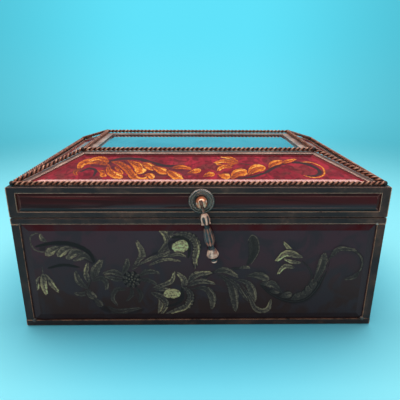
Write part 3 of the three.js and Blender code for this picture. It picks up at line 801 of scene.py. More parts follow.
BOARD = Fibrous(
    "stained_board", srgb(0x21150E), srgb(0x3B281B),
    (60, 4, 1.5, (0.6, 0.6, 9.0)), (300, 4, 0, (1.0, 1.0, 14.0)),
    share=0.6, roughness=0.6, porous=0.2, depth=0.2 * MM,
)


# Meshes


class Draft:
    """Corners, faces and per-corner values of a mesh that is being drawn."""

    def __init__(self, *values: str) -> None:
        """Starts empty.

        Args:
            values: the names of its number attributes.
        """
        self.corners: list[Vector] = []
        self.faces: list[tuple[int, ...]] = []
        self.values: dict[str, list[float]] = {name: [] for name in values}
        self.marks: list[Shares] = []

    def corner(self, place: Vector, **values: float) -> int:
        """Adds a corner.

        Args:
            place: where it is.
            values: its number attributes.

        Returns:
            Its number.
        """
        self.corners.append(place)
        for name, value in values.items():
            self.values[name].append(value)
        return len(self.corners) - 1

    def skin(self, rings: Sequence[Sequence[int]], closed: bool = True) -> None:
        """Joins rings of corners; a ring of one corner is a pole.

        Args:
            rings: the corners of each ring, in order.
            closed: whether each ring comes back to its start.
        """
        for low, high in zip(rings, rings[1:]):
            count = max(len(low), len(high))
            for i in range(count if closed else count - 1):
                j = (i + 1) % count
                quad = [low[i % len(low)], low[j % len(low)], high[j % len(high)], high[i % len(high)]]
                unique = list(dict.fromkeys(quad))
                if len(unique) > 2:
                    self.faces.append(tuple(unique))

    def mesh(
        self, name: str, finish: Material | None = None, smooth: bool = True
    ) -> Mesh:
        """Makes the mesh, with its faces pointing out.

        Args:
            name: its name.
            finish: its material, if it has one.
            smooth: whether it is shaded smooth.

        Returns:
            The mesh.
        """
        made = bpy.data.meshes.new(name)
        made.from_pydata([tuple(c) for c in self.corners], [], self.faces)
        for key, numbers in self.values.items():
            layer = made.attributes.new(key, "FLOAT", "POINT")
            layer.data.foreach_set("value", numbers)
        if self.marks:
            layer = made.attributes.new("brush", "FLOAT_VECTOR", "POINT")
            layer.data.foreach_set("vector", [x for mark in self.marks for x in mark])
        cleaned(made, DOUBLED)
        made.polygons.foreach_set("use_smooth", [smooth] * len(made.polygons))
        if finish:
            made.materials.append(finish)
        return made


def add_piece(
    mesh: Mesh, name: str, body: str, replaced: Iterable[str] = ()
) -> bpy.types.Object:
    """Puts a finished mesh into the scene as a piece of the object.

    Args:
        mesh: the mesh, in its place, with its material.
        name: the piece's name.
        body: the body that it moves with.
        replaced: the CAD nodes that it stands for.

    Returns:
        The piece.
    """
    piece = bpy.data.objects.new(name, mesh)
    mesh.name = name
    put(piece)
    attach(piece, body)
    if replaced:
        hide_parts(*replaced)
    LOG.info("%s rides on %s, %d faces", name, body, len(mesh.polygons))
    return piece


def dress(finish: Material, *nodes: str) -> None:
    """Gives CAD nodes their finish.

    Args:
        finish: the material.
        nodes: the nodes that have it.
    """
    for node in nodes:
        mesh = frame["nodes"][node].data
        mesh.materials.clear()
        mesh.materials.append(finish)


def rectangle(x0: float, y0: float, x1: float, y1: float, level: float) -> list[Vector]:
    """The corners of a level rectangle: front left, front right, back right and back left."""
    return [Vector((x, y, level)) for x, y in ((x0, y0), (x1, y0), (x1, y1), (x0, y1))]


def turned(
    draft: Draft,
    profile: Sequence[Shares],
    place: Matrix,
    sides: int,
    swell: Callable[[float, float], float] = lambda angle, height: 1.0,
    crest: Callable[[float, float], float] | None = None,
) -> None:
    """Draws a turned form about the Z axis of a frame.

    Args:
        draft: what it is drawn into.
        profile: radius and height of each ring; a radius of 0 is a pole.
        place: the frame.
        sides: corners in a ring.
        swell: factor on the radius at an angle and a height.
        crest: the crest attribute at an angle and a height, where the draft has one.
    """
    rings = []
    for radius, height in profile:
        if radius <= 0:
            values = {"crest": crest(0.0, height)} if crest else {}
            rings.append([draft.corner(place @ Vector((0, 0, height)), **values)])
            continue
        ring = []
        for i in range(sides):
            angle = math.tau * i / sides
            reach = radius * swell(angle, height)
            spot = Vector((reach * math.cos(angle), reach * math.sin(angle), height))
            values = {"crest": crest(angle, height)} if crest else {}
            ring.append(draft.corner(place @ spot, **values))
        rings.append(ring)
    draft.skin(rings)


def smoothed(points: Sequence[Shares], steps: int) -> list[Pair]:
    """A smooth curve through points of a profile.

    Args:
        points: the points.
        steps: new points in each stretch.

    Returns:
        The finer profile, with the same ends.
    """
    path = Curve([Vector(point) for point in points])
    count = (len(points) - 1) * steps
    return [tuple(path.at(i / count)) for i in range(count + 1)]


class Curve:
    """A smooth curve through points of the plane, read from 0 at its start to 1 at its end."""

    nearby = 0.01
    pieces = 4

    def __init__(self, points: Sequence[Vector]) -> None:
        """Keeps the points, with the ends carried on straight.

        Args:
            points: at least two points.
        """
        first = points[0] * 2 - points[1]
        last = points[-1] * 2 - points[-2]
        self.points = [first, *points, last]
        self.spans = len(points) - 1

    def at(self, share: float) -> Vector:
        """The place at a share of the curve.

        Args:
            share: from 0 to 1; it is held between the ends.

        Returns:
            The place.
        """
        along = min(max(share, 0.0), 1.0) * self.spans
        span = min(int(along), self.spans - 1)
        t = along - span
        a, b, c, d = self.points[span : span + 4]
        bend = (a * 2 - b * 5 + c * 4 - d) * t * t + (b * 3 - a - c * 3 + d) * t * t * t
        return b + ((c - a) * t + bend) * 0.5

    def heading(self, share: float) -> Vector:
        """The direction of the curve at a share of it."""
        return (self.at(share + self.nearby) - self.at(share - self.nearby)).normalized()

    def side(self, share: float) -> Vector:
        """The direction to the left of the curve at a share of it."""
        heading = self.heading(share)
        return Vector((-heading.y, heading.x))

    def beside(self, share: float, distance: float) -> Vector:
        """The place at a distance to the left of a share of the curve."""
        return self.at(share) + self.side(share) * distance

    def length(self) -> float:
        """The curve's length, near enough."""
        count = self.pieces * self.spans
        spots = [self.at(i / count) for i in range(count + 1)]
        return sum((b - a).length for a, b in zip(spots, spots[1:]))


# Painted panes


@dataclass(frozen=True)
class Pane:
    """The flat middle of a bevelled pane, between its bevels."""

    node: str
    middle: Vector
    across: Vector
    up: Vector
    out: Vector
    half_foot: float
    half_head: float
    half_height: float

    turned_away = 0.2
    level = 0.1

    @classmethod
    def of(cls, node: str, outwards: Vector) -> Pane:
        """Reads the flat middle from a CAD node.

        Args:
            node: the pane's node.
            outwards: roughly the way that its front faces.

        Returns:
            The pane.
        """
        mesh = frame["nodes"][node].data
        faces: dict[tuple[float, ...], list[bpy.types.MeshPolygon]] = {}
        for face in mesh.polygons:
            if face.normal.dot(outwards) > cls.turned_away:
                key = tuple(round(x, 2) for x in face.normal)
                faces.setdefault(key, []).append(face)
        front = max(faces.values(), key=lambda group: sum(face.area for face in group))
        out = front[0].normal.copy()
        across = Vector((0, 0, 1)).cross(out)
        across = across.normalized() if across.length > cls.level else Vector((1, 0, 0))
        up = out.cross(across)
        spots = [mesh.vertices[i].co for face in front for i in face.vertices]
        heights = [spot.dot(up) for spot in spots]
        low, high = min(heights), max(heights)
        foot = [spot.dot(across) for spot, h in zip(spots, heights) if h - low < high - h]
        head = [spot.dot(across) for spot, h in zip(spots, heights) if h - low > high - h]
        middle_across = (min(foot) + max(foot)) / 2
        middle = across * middle_across + up * (low + high) / 2 + out * spots[0].dot(out)
        return cls(
            node, middle, across, up, out,
            (max(foot) - min(foot)) / 2, (max(head) - min(head)) / 2, (high - low) / 2,
        )

    def spot(self, across_share: float, up_share: float) -> Spot:
        """A place in metres from the pane's middle, -1 to 1 across its foot and 0 to 1 up it."""
        return Vector((across_share * self.half_foot, (2 * up_share - 1) * self.half_height))

    def place(self, spot: Spot, lift: float) -> Vector:
        """A place in space over a place on the pane."""
        return self.middle + self.across * spot.x + self.up * spot.y + self.out * lift


class Swell(Enum):
    """How a brush stroke widens from its start to its end: two exponents of a sine."""

    LEAF = (0.85, 0.75)
    PETAL = (1.6, 0.6)
    LOBE = (1.9, 0.5)
    STEM = (1.0, 0.35)
    ROUND = (1.0, 0.5)

    def width(self, share: float) -> float:
        """The width at a share of the stroke, from 0 to 1."""
        early, full = self.value
        return max(math.sin(math.pi * share**early), 0.0) ** full


@dataclass(frozen=True)
class Hand:
    """How one stroke is laid: its outline, its edges and how its tone runs across it."""

    swell: Swell = Swell.LEAF
    middle: float = 0.66
    flank: float = 0.86
    rim: float = 1.05
    cover: float = 0.85
    body: float = 1.0
    scallops: float = 0.0
    ragged: float = 0.16


DARK = (0.0, 0.0)
SHADE = Hand(Swell.STEM, 1.0, 1.0, 1.0, 0.0, 0.55)
BAND = Hand(Swell.STEM, 1.0, 1.0, 1.0, 0.2)
RIB = Hand(Swell.STEM, 1.0, 1.0, 1.0, 0.3)
LIGHT = Hand(Swell.LEAF, 1.0, 1.0, 0.8, 0.6)
LINE = Hand(Swell.STEM, 1.0, 1.0, 1.0, 0.8)
PUFF = Hand(Swell.ROUND, 0.95, 1.0, 0.8, 0.9, ragged=0.3)
FRILL = Hand(Swell.LEAF, 0.6, 0.9, 1.1, 0.95, scallops=0.3, ragged=0.24)
PETAL = Hand(Swell.PETAL, 0.64, 0.86, 1.05, 0.8)
LOBE = Hand(Swell.LOBE, 0.7, 0.9, 1.0, 0.8)
SEED_LEAF = Hand(Swell.LEAF, 0.7, 0.9, 0.8, 0.5)


class Brush:
    """Lays strokes on a pane, each as a thin closed film over the ones that it crosses."""

    film = 0.002 * MM
    first_lift = 0.008 * MM
    order_lift = 0.0001 * MM
    cell = 1.0 * MM
    step = 1.1 * MM
    fewest_steps = 6
    most_steps = 40
    scallop = 3.4 * MM
    scallop_shade = 1.6
    grain = 2.6 * MM
    shoulder = 0.6
    end_cover = 0.8
    chance_step = 7.31

    def __init__(self, pane: Pane, seed: float) -> None:
        """Starts on a bare pane.

        Args:
            pane: what is painted.
            seed: makes the ragged edges differ from pane to pane.
        """
        self.pane = pane
        self.seed = seed
        self.strokes = 0
        self.layers: dict[tuple[int, int], int] = {}
        self.draft = Draft("tone", "cover")

    def stroke(
        self, spots: Sequence[Spot], width: float, tones: Pair, hand: Hand = Hand()
    ) -> None:
        """Lays one stroke.

        Args:
            spots: places that the stroke runs through.
            width: its greatest width.
            tones: how light it is at its start and its end, from 0 to 1.
            hand: how it is laid.
        """
        curve = Curve(spots)
        length = curve.length()
        steps = max(self.fewest_steps, min(self.most_steps, round(length / self.step)))
        lift = self._lift(curve, length, 0.5 * width * (1 + hand.ragged))
        self.strokes += 1
        chance = self.seed + self.chance_step * self.strokes
        cover = hand.cover * self.end_cover
        ends = [
            self._corner(curve.at(i), lift, tones[i], cover, (i * length / MM, 0.5, chance)) for i in (0, 1)
        ]
        rings = [[ends[0]]]
        rim = (-1, 0, hand.rim, hand.cover)
        levels = (rim, (-self.shoulder, 1, hand.flank, hand.body), (0, 1, hand.middle, hand.body))
        across_marks = (*levels, *((-a, h, t, c) for a, h, t, c in levels[1::-1]), (0, 0, 1, 1))
        for i in range(1, steps):
            share = i / steps
            middle, side = curve.at(share), curve.side(share)
            half = 0.5 * width * hand.swell.width(share)
            along = share * length
            wave = hand.scallops * abs(math.sin(math.pi * along / self.scallop + chance))
            tone = (tones[0] + (tones[1] - tones[0]) * share) * (1 - self.scallop_shade * wave)
            ring = []
            for across, height, level, cover in across_marks:
                wobble = noise.noise(Vector((along / self.grain, across, chance)))
                reach = across * half * (1 + hand.ragged * wobble - wave * (abs(across) == 1))
                mark = (along / MM, across * half / MM, chance)
                spot = middle + side * reach
                ring.append(self._corner(spot, lift + self.film * height, tone * level, cover, mark))
            rings.append(ring)
        rings.append([ends[1]])
        self.draft.skin(rings)

    def _lift(self, curve: Curve, length: float, half: float) -> float:
        """How high a stroke has to lie to clear the strokes that it crosses.

        Args:
            curve: its middle line.
            length: its length.
            half: half of its greatest width.

        Returns:
            Its distance from the glass.
        """
        cells = set()
        along = math.ceil(2 * length / self.cell)
        across = math.ceil(2 * half / self.cell)
        for i in range(along + 1):
            share = i / along
            side = curve.side(share) * half
            for j in range(-across, across + 1):
                spot = (curve.at(share) + side * (j / across)) / self.cell
                cells.add((round(spot.x), round(spot.y)))
        layer = 1 + max(self.layers.get(cell, 0) for cell in cells)
        self.layers.update(dict.fromkeys(cells, layer))
        return self.first_lift + self.film * layer + self.order_lift * self.strokes

    def _corner(self, spot: Spot, lift: float, tone: float, cover: float, mark: Shares) -> int:
        """Adds a corner of a stroke, kept on the pane's flat middle.

        Args:
            spot: its place on the pane.
            lift: its distance from the glass.
            tone: how light it is.
            cover: how thick the paint is.
            mark: how far along and across the stroke it is, and the stroke's own number.

        Returns:
            Its number in the draft.
        """
        pane = self.pane
        y = min(max(spot.y, -pane.half_height), pane.half_height)
        rise = (y / pane.half_height + 1) / 2
        half = pane.half_foot + (pane.half_head - pane.half_foot) * rise
        x = min(max(spot.x, -half), half)
        self.draft.marks.append(mark)
        return self.draft.corner(pane.place(Vector((x, y)), lift), tone=tone, cover=cover)


@dataclass
class Foliage:
    """Motifs of the scrolling foliage. Each goes down from its dark underlayer to its lights.

    Places are hundredths of the pane's flat middle and widths are in millimetres.
    """

    brush: Brush
    mirrored: bool = False
    underlayer: float = 1.4
    root_tone: float = 0.55
    vein: float = 0.6
    vein_tone: float = 0.05
    vein_spread: float = 0.5
    vein_shares: Shares = (0.06, 0.3, 0.55, 0.8)
    lit: float = 0.22
    lit_tone: float = 1.2
    lit_beside: float = 0.26
    lit_shares: Shares = (0.42, 0.65, 0.85, 0.95)
    frill_line: float = 0.9
    lobe_sizes: Pair = (0.55, 0.45)
    lobe_belly: Pair = (0.35, 0.42)
    lobe_tip: float = 0.85
    rib: float = 3.4
    rib_line: float = 0.7
    seed: float = 0.14
    seed_rings: tuple[tuple[float, int], ...] = ((0.72, 9), (0.38, 5), (0.0, 1))
    seed_leaves: int = 9

    def _spots(self, shares: Iterable[Shares]) -> list[Spot]:
        """Places on the pane, seen in a mirror if the design is mirrored."""
        side = -1 if self.mirrored else 1
        return [self.brush.pane.spot(side * x / 100, y / 100) for x, y in shares]

    def _lay(self, shares: Iterable[Shares], width: float, tones: Pair, hand: Hand) -> None:
        """Lays one stroke through places on the pane."""
        self.brush.stroke(self._spots(shares), width * MM, tones, hand)

    def shade(self, width: float, *shares: Shares) -> None:
        """A soft dark band."""
        self._lay(shares, width, DARK, SHADE)

    def band(self, width: float, *shares: Shares) -> None:
        """A dark band with soft edges."""
        self._lay(shares, width, DARK, BAND)

    def line(self, width: float, tone: float, *shares: Shares) -> None:
        """A thin light or dark line."""
        self._lay(shares, width, (tone, tone), LINE)

    def stem(self, width: float, tone: float, *shares: Shares) -> None:
        """A stem with a soft shade under it."""
        self.shade(width * 2.6, *shares)
        self.line(width, tone, *shares)

    def puff(self, width: float, tone: float, *shares: Shares) -> None:
        """A round dab."""
        self._lay(shares, width, (tone * 0.9, tone), PUFF)

    def leaf(self, width: float, tone: float, *shares: Shares, hand: Hand = Hand(), veins: int = 1) -> None:
        """A leaf or petal.

        Args:
            width: its greatest width.
            tone: how light its tip is.
            shares: places from its root to its tip.
            hand: how its main stroke is laid.
            veins: how many dark lines run along it.
        """
        self._lay(shares, width * self.underlayer, DARK, Hand(hand.swell, 1.0, 1.0, 1.0, 0.0, 0.7))
        self._lay(shares, width, (tone * self.root_tone, tone), hand)
        curve = Curve(self._spots(shares))
        for i in range(veins):
            offset = ((i + 0.5) / veins - 0.5) * width * self.vein_spread * MM
            vein = [curve.beside(share, offset * math.sin(2.6 * share + 0.3)) for share in self.vein_shares]
            self.brush.stroke(vein, self.vein * MM, (self.vein_tone, tone * 0.5), LINE)
        lit = [curve.beside(share, self.lit_beside * width * MM) for share in self.lit_shares]
        self.brush.stroke(lit, width * self.lit * MM, (tone, tone * self.lit_tone), LIGHT)

    def petal(self, width: float, tone: float, *shares: Shares, veins: int = 1) -> None:
        """A leaf that is widest towards its tip."""
        self.leaf(width, tone, *shares, hand=PETAL, veins=veins)

    def blade(self, width: float, tone: float, *shares: Shares) -> None:
        """A leaf without a vein."""
        self.leaf(width, tone, *shares, veins=0)

    def frill(self, width: float, tone: float, *shares: Shares) -> None:
        """The wavy outer edge of a flower.

        Args:
            width: its greatest width.
            tone: how light its end is.
            shares: places along it.
        """
        self.shade(width * 1.5, *shares)
        self.leaf(width, tone, *shares, hand=FRILL, veins=0)
        self.line(self.frill_line, tone * 0.5, *shares)

    def lobes(self, count: int, reach: float, tone: float, *shares: Shares) -> None:
        """A long leaf along a dark rib, with feathered lobes on its left that point to its tip.

        Args:
            count: how many lobes it has.
            reach: the length of the longest lobe.
            tone: how light the lobes' tips are.
            shares: places along the rib, from root to tip.
        """
        curve = Curve(self._spots(shares))
        side = -1 if self.mirrored else 1
        spacing = curve.length() / count
        along = [curve.beside(i / 6, side * reach * 0.2 * MM) for i in range(7)]
        self.brush.stroke(along, reach * 1.1 * MM, DARK, SHADE)
        for i in range(count):
            share = i / count
            root, ahead, sideways = curve.at(share), curve.heading(share), curve.side(share) * side
            least, more = self.lobe_sizes
            size = reach * (least + more * math.sin(math.pi * (i + 0.6) / count)) * MM
            belly = root + ahead * size * self.lobe_belly[0] + sideways * size * self.lobe_belly[1]
            tip = root + ahead * size * self.lobe_tip + sideways * size * self.lobe_tip
            width = min(spacing * 1.05, 0.62 * size)
            self.brush.stroke([root, belly, tip], width * 1.25, (0.0, 0.05), LOBE)
            self.brush.stroke([root, belly, tip], width, (tone * 0.4, tone), LOBE)
            lit = [belly, belly.lerp(tip, 0.5) + ahead * width * 0.2, tip]
            self.brush.stroke(lit, width * 0.3, (tone * 0.8, tone * 1.25), LIGHT)
        self._lay(shares, self.rib, DARK, RIB)
        self._lay(shares, self.rib_line, (tone * 0.3, tone * 0.6), LINE)

    def berries(self, radius: float, tone: float, middle: Shares) -> None:
        """A round head of seeds, each with a light, in a ring of short dark leaves.

        Args:
            radius: its radius.
            tone: how light the seeds are.
            middle: its middle.
        """
        (centre,) = self._spots([middle])
        size = radius * MM
        span = Vector((size, 0))
        self.brush.stroke([centre - span * 1.2, centre + span * 1.2], size * 2.4, DARK, PUFF)
        for i in range(self.seed_leaves):
            angle = math.tau * i / self.seed_leaves
            ray = Vector((math.cos(angle), math.sin(angle)))
            spots = [centre + ray * size * 0.5, centre + ray * size * 1.25]
            self.brush.stroke(spots, size * 0.45, (0.12, tone * 0.7), SEED_LEAF)
        for ring, count in self.seed_rings:
            for i in range(count):
                angle = math.tau * i / count + ring
                seed = centre + Vector((math.cos(angle), math.sin(angle))) * ring * size
                half = Vector((size * self.seed, 0))
                self.brush.stroke([seed - half, seed + half], size * 2 * self.seed, (0.1, tone), PUFF)


def paint_long_wall(f: Foliage) -> None:
    """A long wall: a scroll with two large flowers, a bellflower and a tulip.

    Args:
        f: lays the motifs.
    """
    f.shade(14, (-96, 80), (-87, 80), (-77, 79), (-70, 74), (-65, 68), (-63, 61))
    f.petal(7, 0.42, (-64, 64), (-69, 72), (-76, 66), veins=2)
    f.petal(7.5, 0.5, (-69, 75), (-74, 76), (-80, 68), veins=2)
    f.petal(7.5, 0.62, (-75, 81), (-80, 79), (-85, 71))
    f.petal(7, 0.66, (-82, 82), (-87, 79), (-92, 72))
    f.band(5, (-98, 82), (-88, 86), (-78, 86), (-70, 81), (-65, 73), (-63, 60))
    f.line(1.6, 0.34, (-93, 97), (-97, 97), (-100, 91), (-99, 82), (-96, 77), (-90, 76))
    f.blade(4, 0.6, (-90, 88), (-93, 92), (-93, 97))
    f.band(3.4, (-92, 57), (-82, 61), (-72, 58))
    f.line(0.8, 0.3, (-95, 51), (-95, 59))
    f.leaf(5, 0.7, (-95, 49), (-99, 40), (-100, 30))
    f.leaf(5, 0.75, (-94, 50), (-91, 39), (-87, 27))
    f.leaf(6, 0.85, (-95, 51), (-95.5, 37), (-95, 24))
    f.stem(1.2, 0.15, (-63, 60), (-66, 45), (-69, 31), (-66, 19), (-59, 4))
    f.shade(7, (-74, 28), (-66, 20), (-59, 6), (-46, 2), (-34, 6))
    f.leaf(6, 0.42, (-69, 32), (-74, 42), (-75, 54))
    f.leaf(5, 0.58, (-68, 39), (-69, 51), (-67, 64))
    f.leaf(8, 0.45, (-65, 42), (-63, 55), (-58, 67), veins=2)
    f.leaf(5, 0.35, (-66, 41), (-60, 45), (-57, 38), (-58, 30))
    f.leaf(5, 0.35, (-67, 31), (-72, 25), (-78, 27))
    f.petal(7, 0.4, (-69, 31), (-68, 26), (-64, 19))
    f.petal(6, 0.35, (-66, 21), (-63, 15), (-61, 9))
    f.leaf(4.5, 0.3, (-58, 10), (-52, 4), (-44, 5), (-36, 7))
    f.leaf(4, 0.28, (-56, 2), (-50, 0), (-44, 3))
    f.leaf(4.5, 0.32, (-45, 30), (-51, 31), (-54, 20), (-51, 9))
    f.leaf(4, 0.22, (-42, 34), (-42, 24), (-46, 16))
    f.leaf(4, 0.22, (-39, 34), (-36, 24), (-38, 14))
    f.leaf(5.5, 0.42, (-46, 47), (-52, 52), (-59, 51))
    f.leaf(4.5, 0.36, (-46, 43), (-52, 44), (-58, 48))
    f.leaf(5.5, 0.4, (-47, 50), (-44, 60), (-43, 69))
    f.leaf(5, 0.36, (-37, 47), (-31, 53), (-24, 50))
    f.leaf(4.5, 0.3, (-37, 43), (-31, 42), (-26, 36))
    f.berries(7, 0.55, (-41.5, 43))
    f.leaf(6.5, 0.55, (-41, 55), (-34.5, 71), (-37, 90))
    f.leaf(4, 0.7, (-37, 60), (-34, 66), (-29, 70))
    paint_upper_flower(f)
    paint_lower_flower(f)
    f.stem(1.6, 0.1, (-2, 34), (2, 43), (9, 52), (22, 56), (31, 57))
    f.leaf(6, 0.55, (-7, 39), (-2, 49), (8, 51), veins=2)
    f.leaf(5, 0.5, (-7, 35), (1, 41), (10, 37))
    f.petal(7, 0.42, (-6, 31), (3, 32), (8, 22), (8, 5), veins=2)
    f.leaf(6, 0.45, (9, 52), (16, 54), (24, 45))
    f.petal(8, 0.38, (10, 50), (18, 40), (21.5, 24), (23, 2), veins=2)
    f.leaf(3.4, 0.42, (12, 50), (22, 38), (29, 20), (36, 7))
    f.petal(7, 0.45, (20, 44), (29, 39), (33, 28), (34.5, 13))
    f.petal(5, 0.55, (25, 40), (31, 22), (36, 5), (43, 5), (45, 18))
    f.petal(9, 0.16, (28, 57), (32.5, 74), (31, 95))
    f.line(0.8, 0.4, (31, 60), (35.5, 76), (34.5, 90), (31, 95), (28.5, 88))
    f.blade(3, 0.5, (24, 56), (28, 58), (31, 56))
    f.petal(7.5, 0.42, (28, 47), (36, 48), (43, 42))
    f.lobes(9, 12, 0.36, (37, 37), (46, 23), (57, 15), (66, 17), (72, 28), (76, 45), (79, 66))
    f.petal(8, 0.38, (70, 36), (74, 54), (75.5, 75), veins=2)
    f.petal(7, 0.4, (52, 25), (46, 36), (41, 37))
    f.stem(1.6, 0.3, (77, 62), (81, 74), (87, 79), (94, 76), (98.5, 67), (99, 56), (96, 48), (90, 44))
    f.blade(4.5, 0.42, (79, 68), (84, 79), (95, 77))
    f.blade(4.5, 0.3, (98, 52), (95, 45), (89, 43))
    f.stem(1, 0.12, (62, 66), (67, 56), (69, 46), (67, 34))
    f.leaf(4.5, 0.8, (62.5, 69), (56, 75), (50, 88))
    f.leaf(6.5, 0.88, (62, 69), (53, 74), (45.5, 65), veins=2)
    f.blade(3.4, 0.8, (62, 63), (56, 64), (51, 68))
    f.leaf(4.5, 0.8, (58, 57), (52, 58.5), (47.5, 49))


def paint_upper_flower(f: Foliage) -> None:
    """The large flower near the top of a long wall, opening to the upper right.

    Args:
        f: lays the motifs.
    """
    f.shade(9, (-36, 62), (-26, 72), (-16, 80), (-8, 80))
    f.stem(1.4, 0.2, (-41, 57), (-33, 64), (-24, 73), (-16, 78))
    f.blade(3.2, 0.7, (-38, 60), (-25, 71), (-10, 73))
    f.blade(2.8, 0.65, (-31, 60), (-21, 67), (-11, 65))
    f.blade(3.4, 0.6, (-29, 66), (-21, 75), (-14, 80))
    f.leaf(7, 0.62, (-25, 74), (-19, 85), (-20, 95), (-23.5, 103), veins=2)
    f.leaf(5, 0.55, (-21, 77), (-15.5, 89), (-19, 102))
    f.blade(4.5, 0.5, (-19, 95), (-15, 100), (-11, 97))
    f.shade(17, (-19, 82), (-12, 84), (-5, 82))
    f.frill(7.5, 0.72, (-16, 96), (-9, 96), (-3.5, 91), (-1.5, 81), (-3, 70), (-2.5, 56))
    f.line(3.4, 0.04, (-17, 92), (-12, 93), (-7, 88), (-6, 78), (-7, 68))
    f.puff(12, 0.98, (-16.5, 80), (-11, 82.5), (-6.5, 82))
    f.line(0.7, 0.5, (-15.5, 79), (-12, 81), (-8.5, 80))
    f.line(0.7, 0.55, (-15, 83), (-12, 85), (-8.5, 85))
    f.blade(3.4, 0.6, (-20, 70), (-13, 73.5), (-8, 70))


def paint_lower_flower(f: Foliage) -> None:
    """The large flower near the foot of a long wall, opening to the lower right.

    Args:
        f: lays the motifs.
    """
    f.shade(18, (-27, 26), (-19, 24), (-10, 22))
    f.leaf(6, 0.6, (-10, 31), (-9.5, 42), (-13.5, 52))
    f.leaf(4.5, 0.68, (-29, 33), (-20, 38), (-16.5, 43), (-15, 53))
    f.leaf(6, 0.55, (-30, 27), (-23.5, 19), (-26, 0), veins=2)
    f.leaf(4.5, 0.5, (-27, 25), (-20.5, 13), (-24.5, -2))
    f.blade(4, 0.5, (-28, 31), (-22, 31), (-17, 30))
    f.frill(7.5, 0.62, (-11, 34), (-6.5, 28), (-5.5, 19), (-7.5, 10), (-14, 5), (-22, -1))
    f.line(3.2, 0.04, (-11, 34), (-10.5, 20), (-15, 12), (-21, 9))
    f.puff(9.5, 0.85, (-22.5, 24), (-17, 25.5), (-11.5, 25))
    f.line(0.7, 0.45, (-20, 22.5), (-17, 23.5), (-13.5, 22.5))
    f.line(0.7, 0.5, (-20, 27), (-16.5, 28.5), (-13, 27.5))


def paint_long_roof(f: Foliage) -> None:
    """A long roof slope: a leafy scroll, a tulip and two curled ends.

    Args:
        f: lays the motifs.
    """
    f.shade(22, (-74, 62), (-60, 66), (-46, 48), (-33, 40), (-16, 34), (0, 34))
    f.band(5.4, (-62, 70), (-57, 86), (-49, 91), (-40, 87), (-31, 70), (-21, 57), (-10, 63))
    f.band(3.6, (-78, 30), (-73, 46), (-68, 38), (-68, 13))
    f.blade(4.2, 0.45, (-78, 48), (-81, 33), (-79, 15))
    f.leaf(9.8, 0.75, (-61, 62), (-70, 80), (-78, 70), (-80, 44), veins=2)
    f.leaf(7, 0.9, (-61, 74), (-68, 92), (-76, 80))
    f.petal(7.7, 0.8, (-67, 40), (-62, 28), (-62, 10))
    f.petal(8.4, 0.9, (-61, 68), (-59, 36), (-54, 17), (-49, 7), veins=2)
    f.leaf(5.6, 0.7, (-56, 58), (-53, 44), (-50, 18))
    f.leaf(7.7, 0.75, (-60, 78), (-53, 66), (-45, 31), (-41, 6), (-35, 0), (-31, 20), veins=2)
    f.petal(6.3, 0.85, (-37, 17), (-32, 18), (-30, 2))
    f.petal(11.9, 0.92, (-49, 84), (-43, 66), (-39, 50), (-39, 22), veins=2)
    f.petal(8.4, 0.85, (-40, 70), (-35, 62), (-29, 38), veins=2)
    f.petal(9.1, 0.85, (-32, 60), (-26, 40), (-20, 24), veins=2)
    f.petal(9.1, 0.9, (-22, 42), (-17, 20), (-11, -4), veins=2)
    f.leaf(6.3, 0.65, (-18, 47), (-12, 53), (-5, 42))
    f.petal(7, 0.9, (-8, 26), (-3, 34), (1, 42))
    f.band(
        4.6,
        (22, 2), (34, 12), (44, 32), (52, 58), (61, 74), (71, 70), (78, 48),
        (79, 30), (75, 16), (67, 16),
    )
    f.line(1.5, 0.75, (69, 75), (76, 74), (82, 52), (81, 21), (74, 8), (67, 18))
    f.stem(1, 0.1, (26, 73), (33, 64), (44, 62))
    f.leaf(5, 0.9, (26.5, 71), (22, 92), (14, 103))
    f.leaf(6.2, 0.85, (26, 68), (18, 80), (9.5, 72))
    f.blade(4.2, 0.8, (24, 66), (17, 60), (11, 68))
    f.leaf(5.6, 0.9, (22, 50), (16, 54), (11.5, 36))
    f.petal(7.7, 0.8, (2, 10), (6, 20), (10, 23))
    f.petal(9.1, 0.95, (12, 22), (16, 14), (20, 10), veins=0)
    f.petal(11.9, 0.85, (20, 0), (25, 26), (32, 33), veins=2)
    f.petal(11.9, 0.85, (31, 16), (37, 44), (44, 53), veins=2)
    f.petal(7.7, 0.8, (46, 46), (50, 68), (57, 80))
    f.blade(5, 0.8, (56, 70), (61, 80), (67, 88))


def paint_short_roof(f: Foliage) -> None:
    """Half of a short roof slope: a leafy arm that ends in a curl.

    Args:
        f: lays the motifs.
    """
    f.shade(14, (10, 36), (32, 56), (54, 40))
    f.band(4, (2, 20), (14, 60), (32, 78), (50, 62), (64, 30), (76, 12))
    f.petal(7, 0.85, (12, 56), (22, 44), (26, 16), veins=2)
    f.petal(7, 0.9, (28, 72), (36, 52), (38, 22), veins=2)
    f.petal(6, 0.85, (42, 66), (50, 42), (50, 14))
    f.petal(5, 0.8, (54, 50), (62, 30), (66, 6))
    f.leaf(4.5, 0.75, (30, 80), (40, 92), (50, 86))
    f.leaf(5.5, 0.9, (3, 34), (10, 62), (9, 92))


def paint_roof_flower(f: Foliage) -> None:
    """The tulip in the middle of a short roof slope.

    Args:
        f: lays the motifs.
    """
    f.stem(1.6, 0.12, (0, 2), (0, 24))
    f.leaf(5, 0.85, (0, 20), (-7, 50), (-9, 82))
    f.leaf(5, 0.85, (0, 20), (7, 50), (9, 82))
    f.leaf(7, 0.95, (0, 22), (0, 56), (0, 92), veins=2)


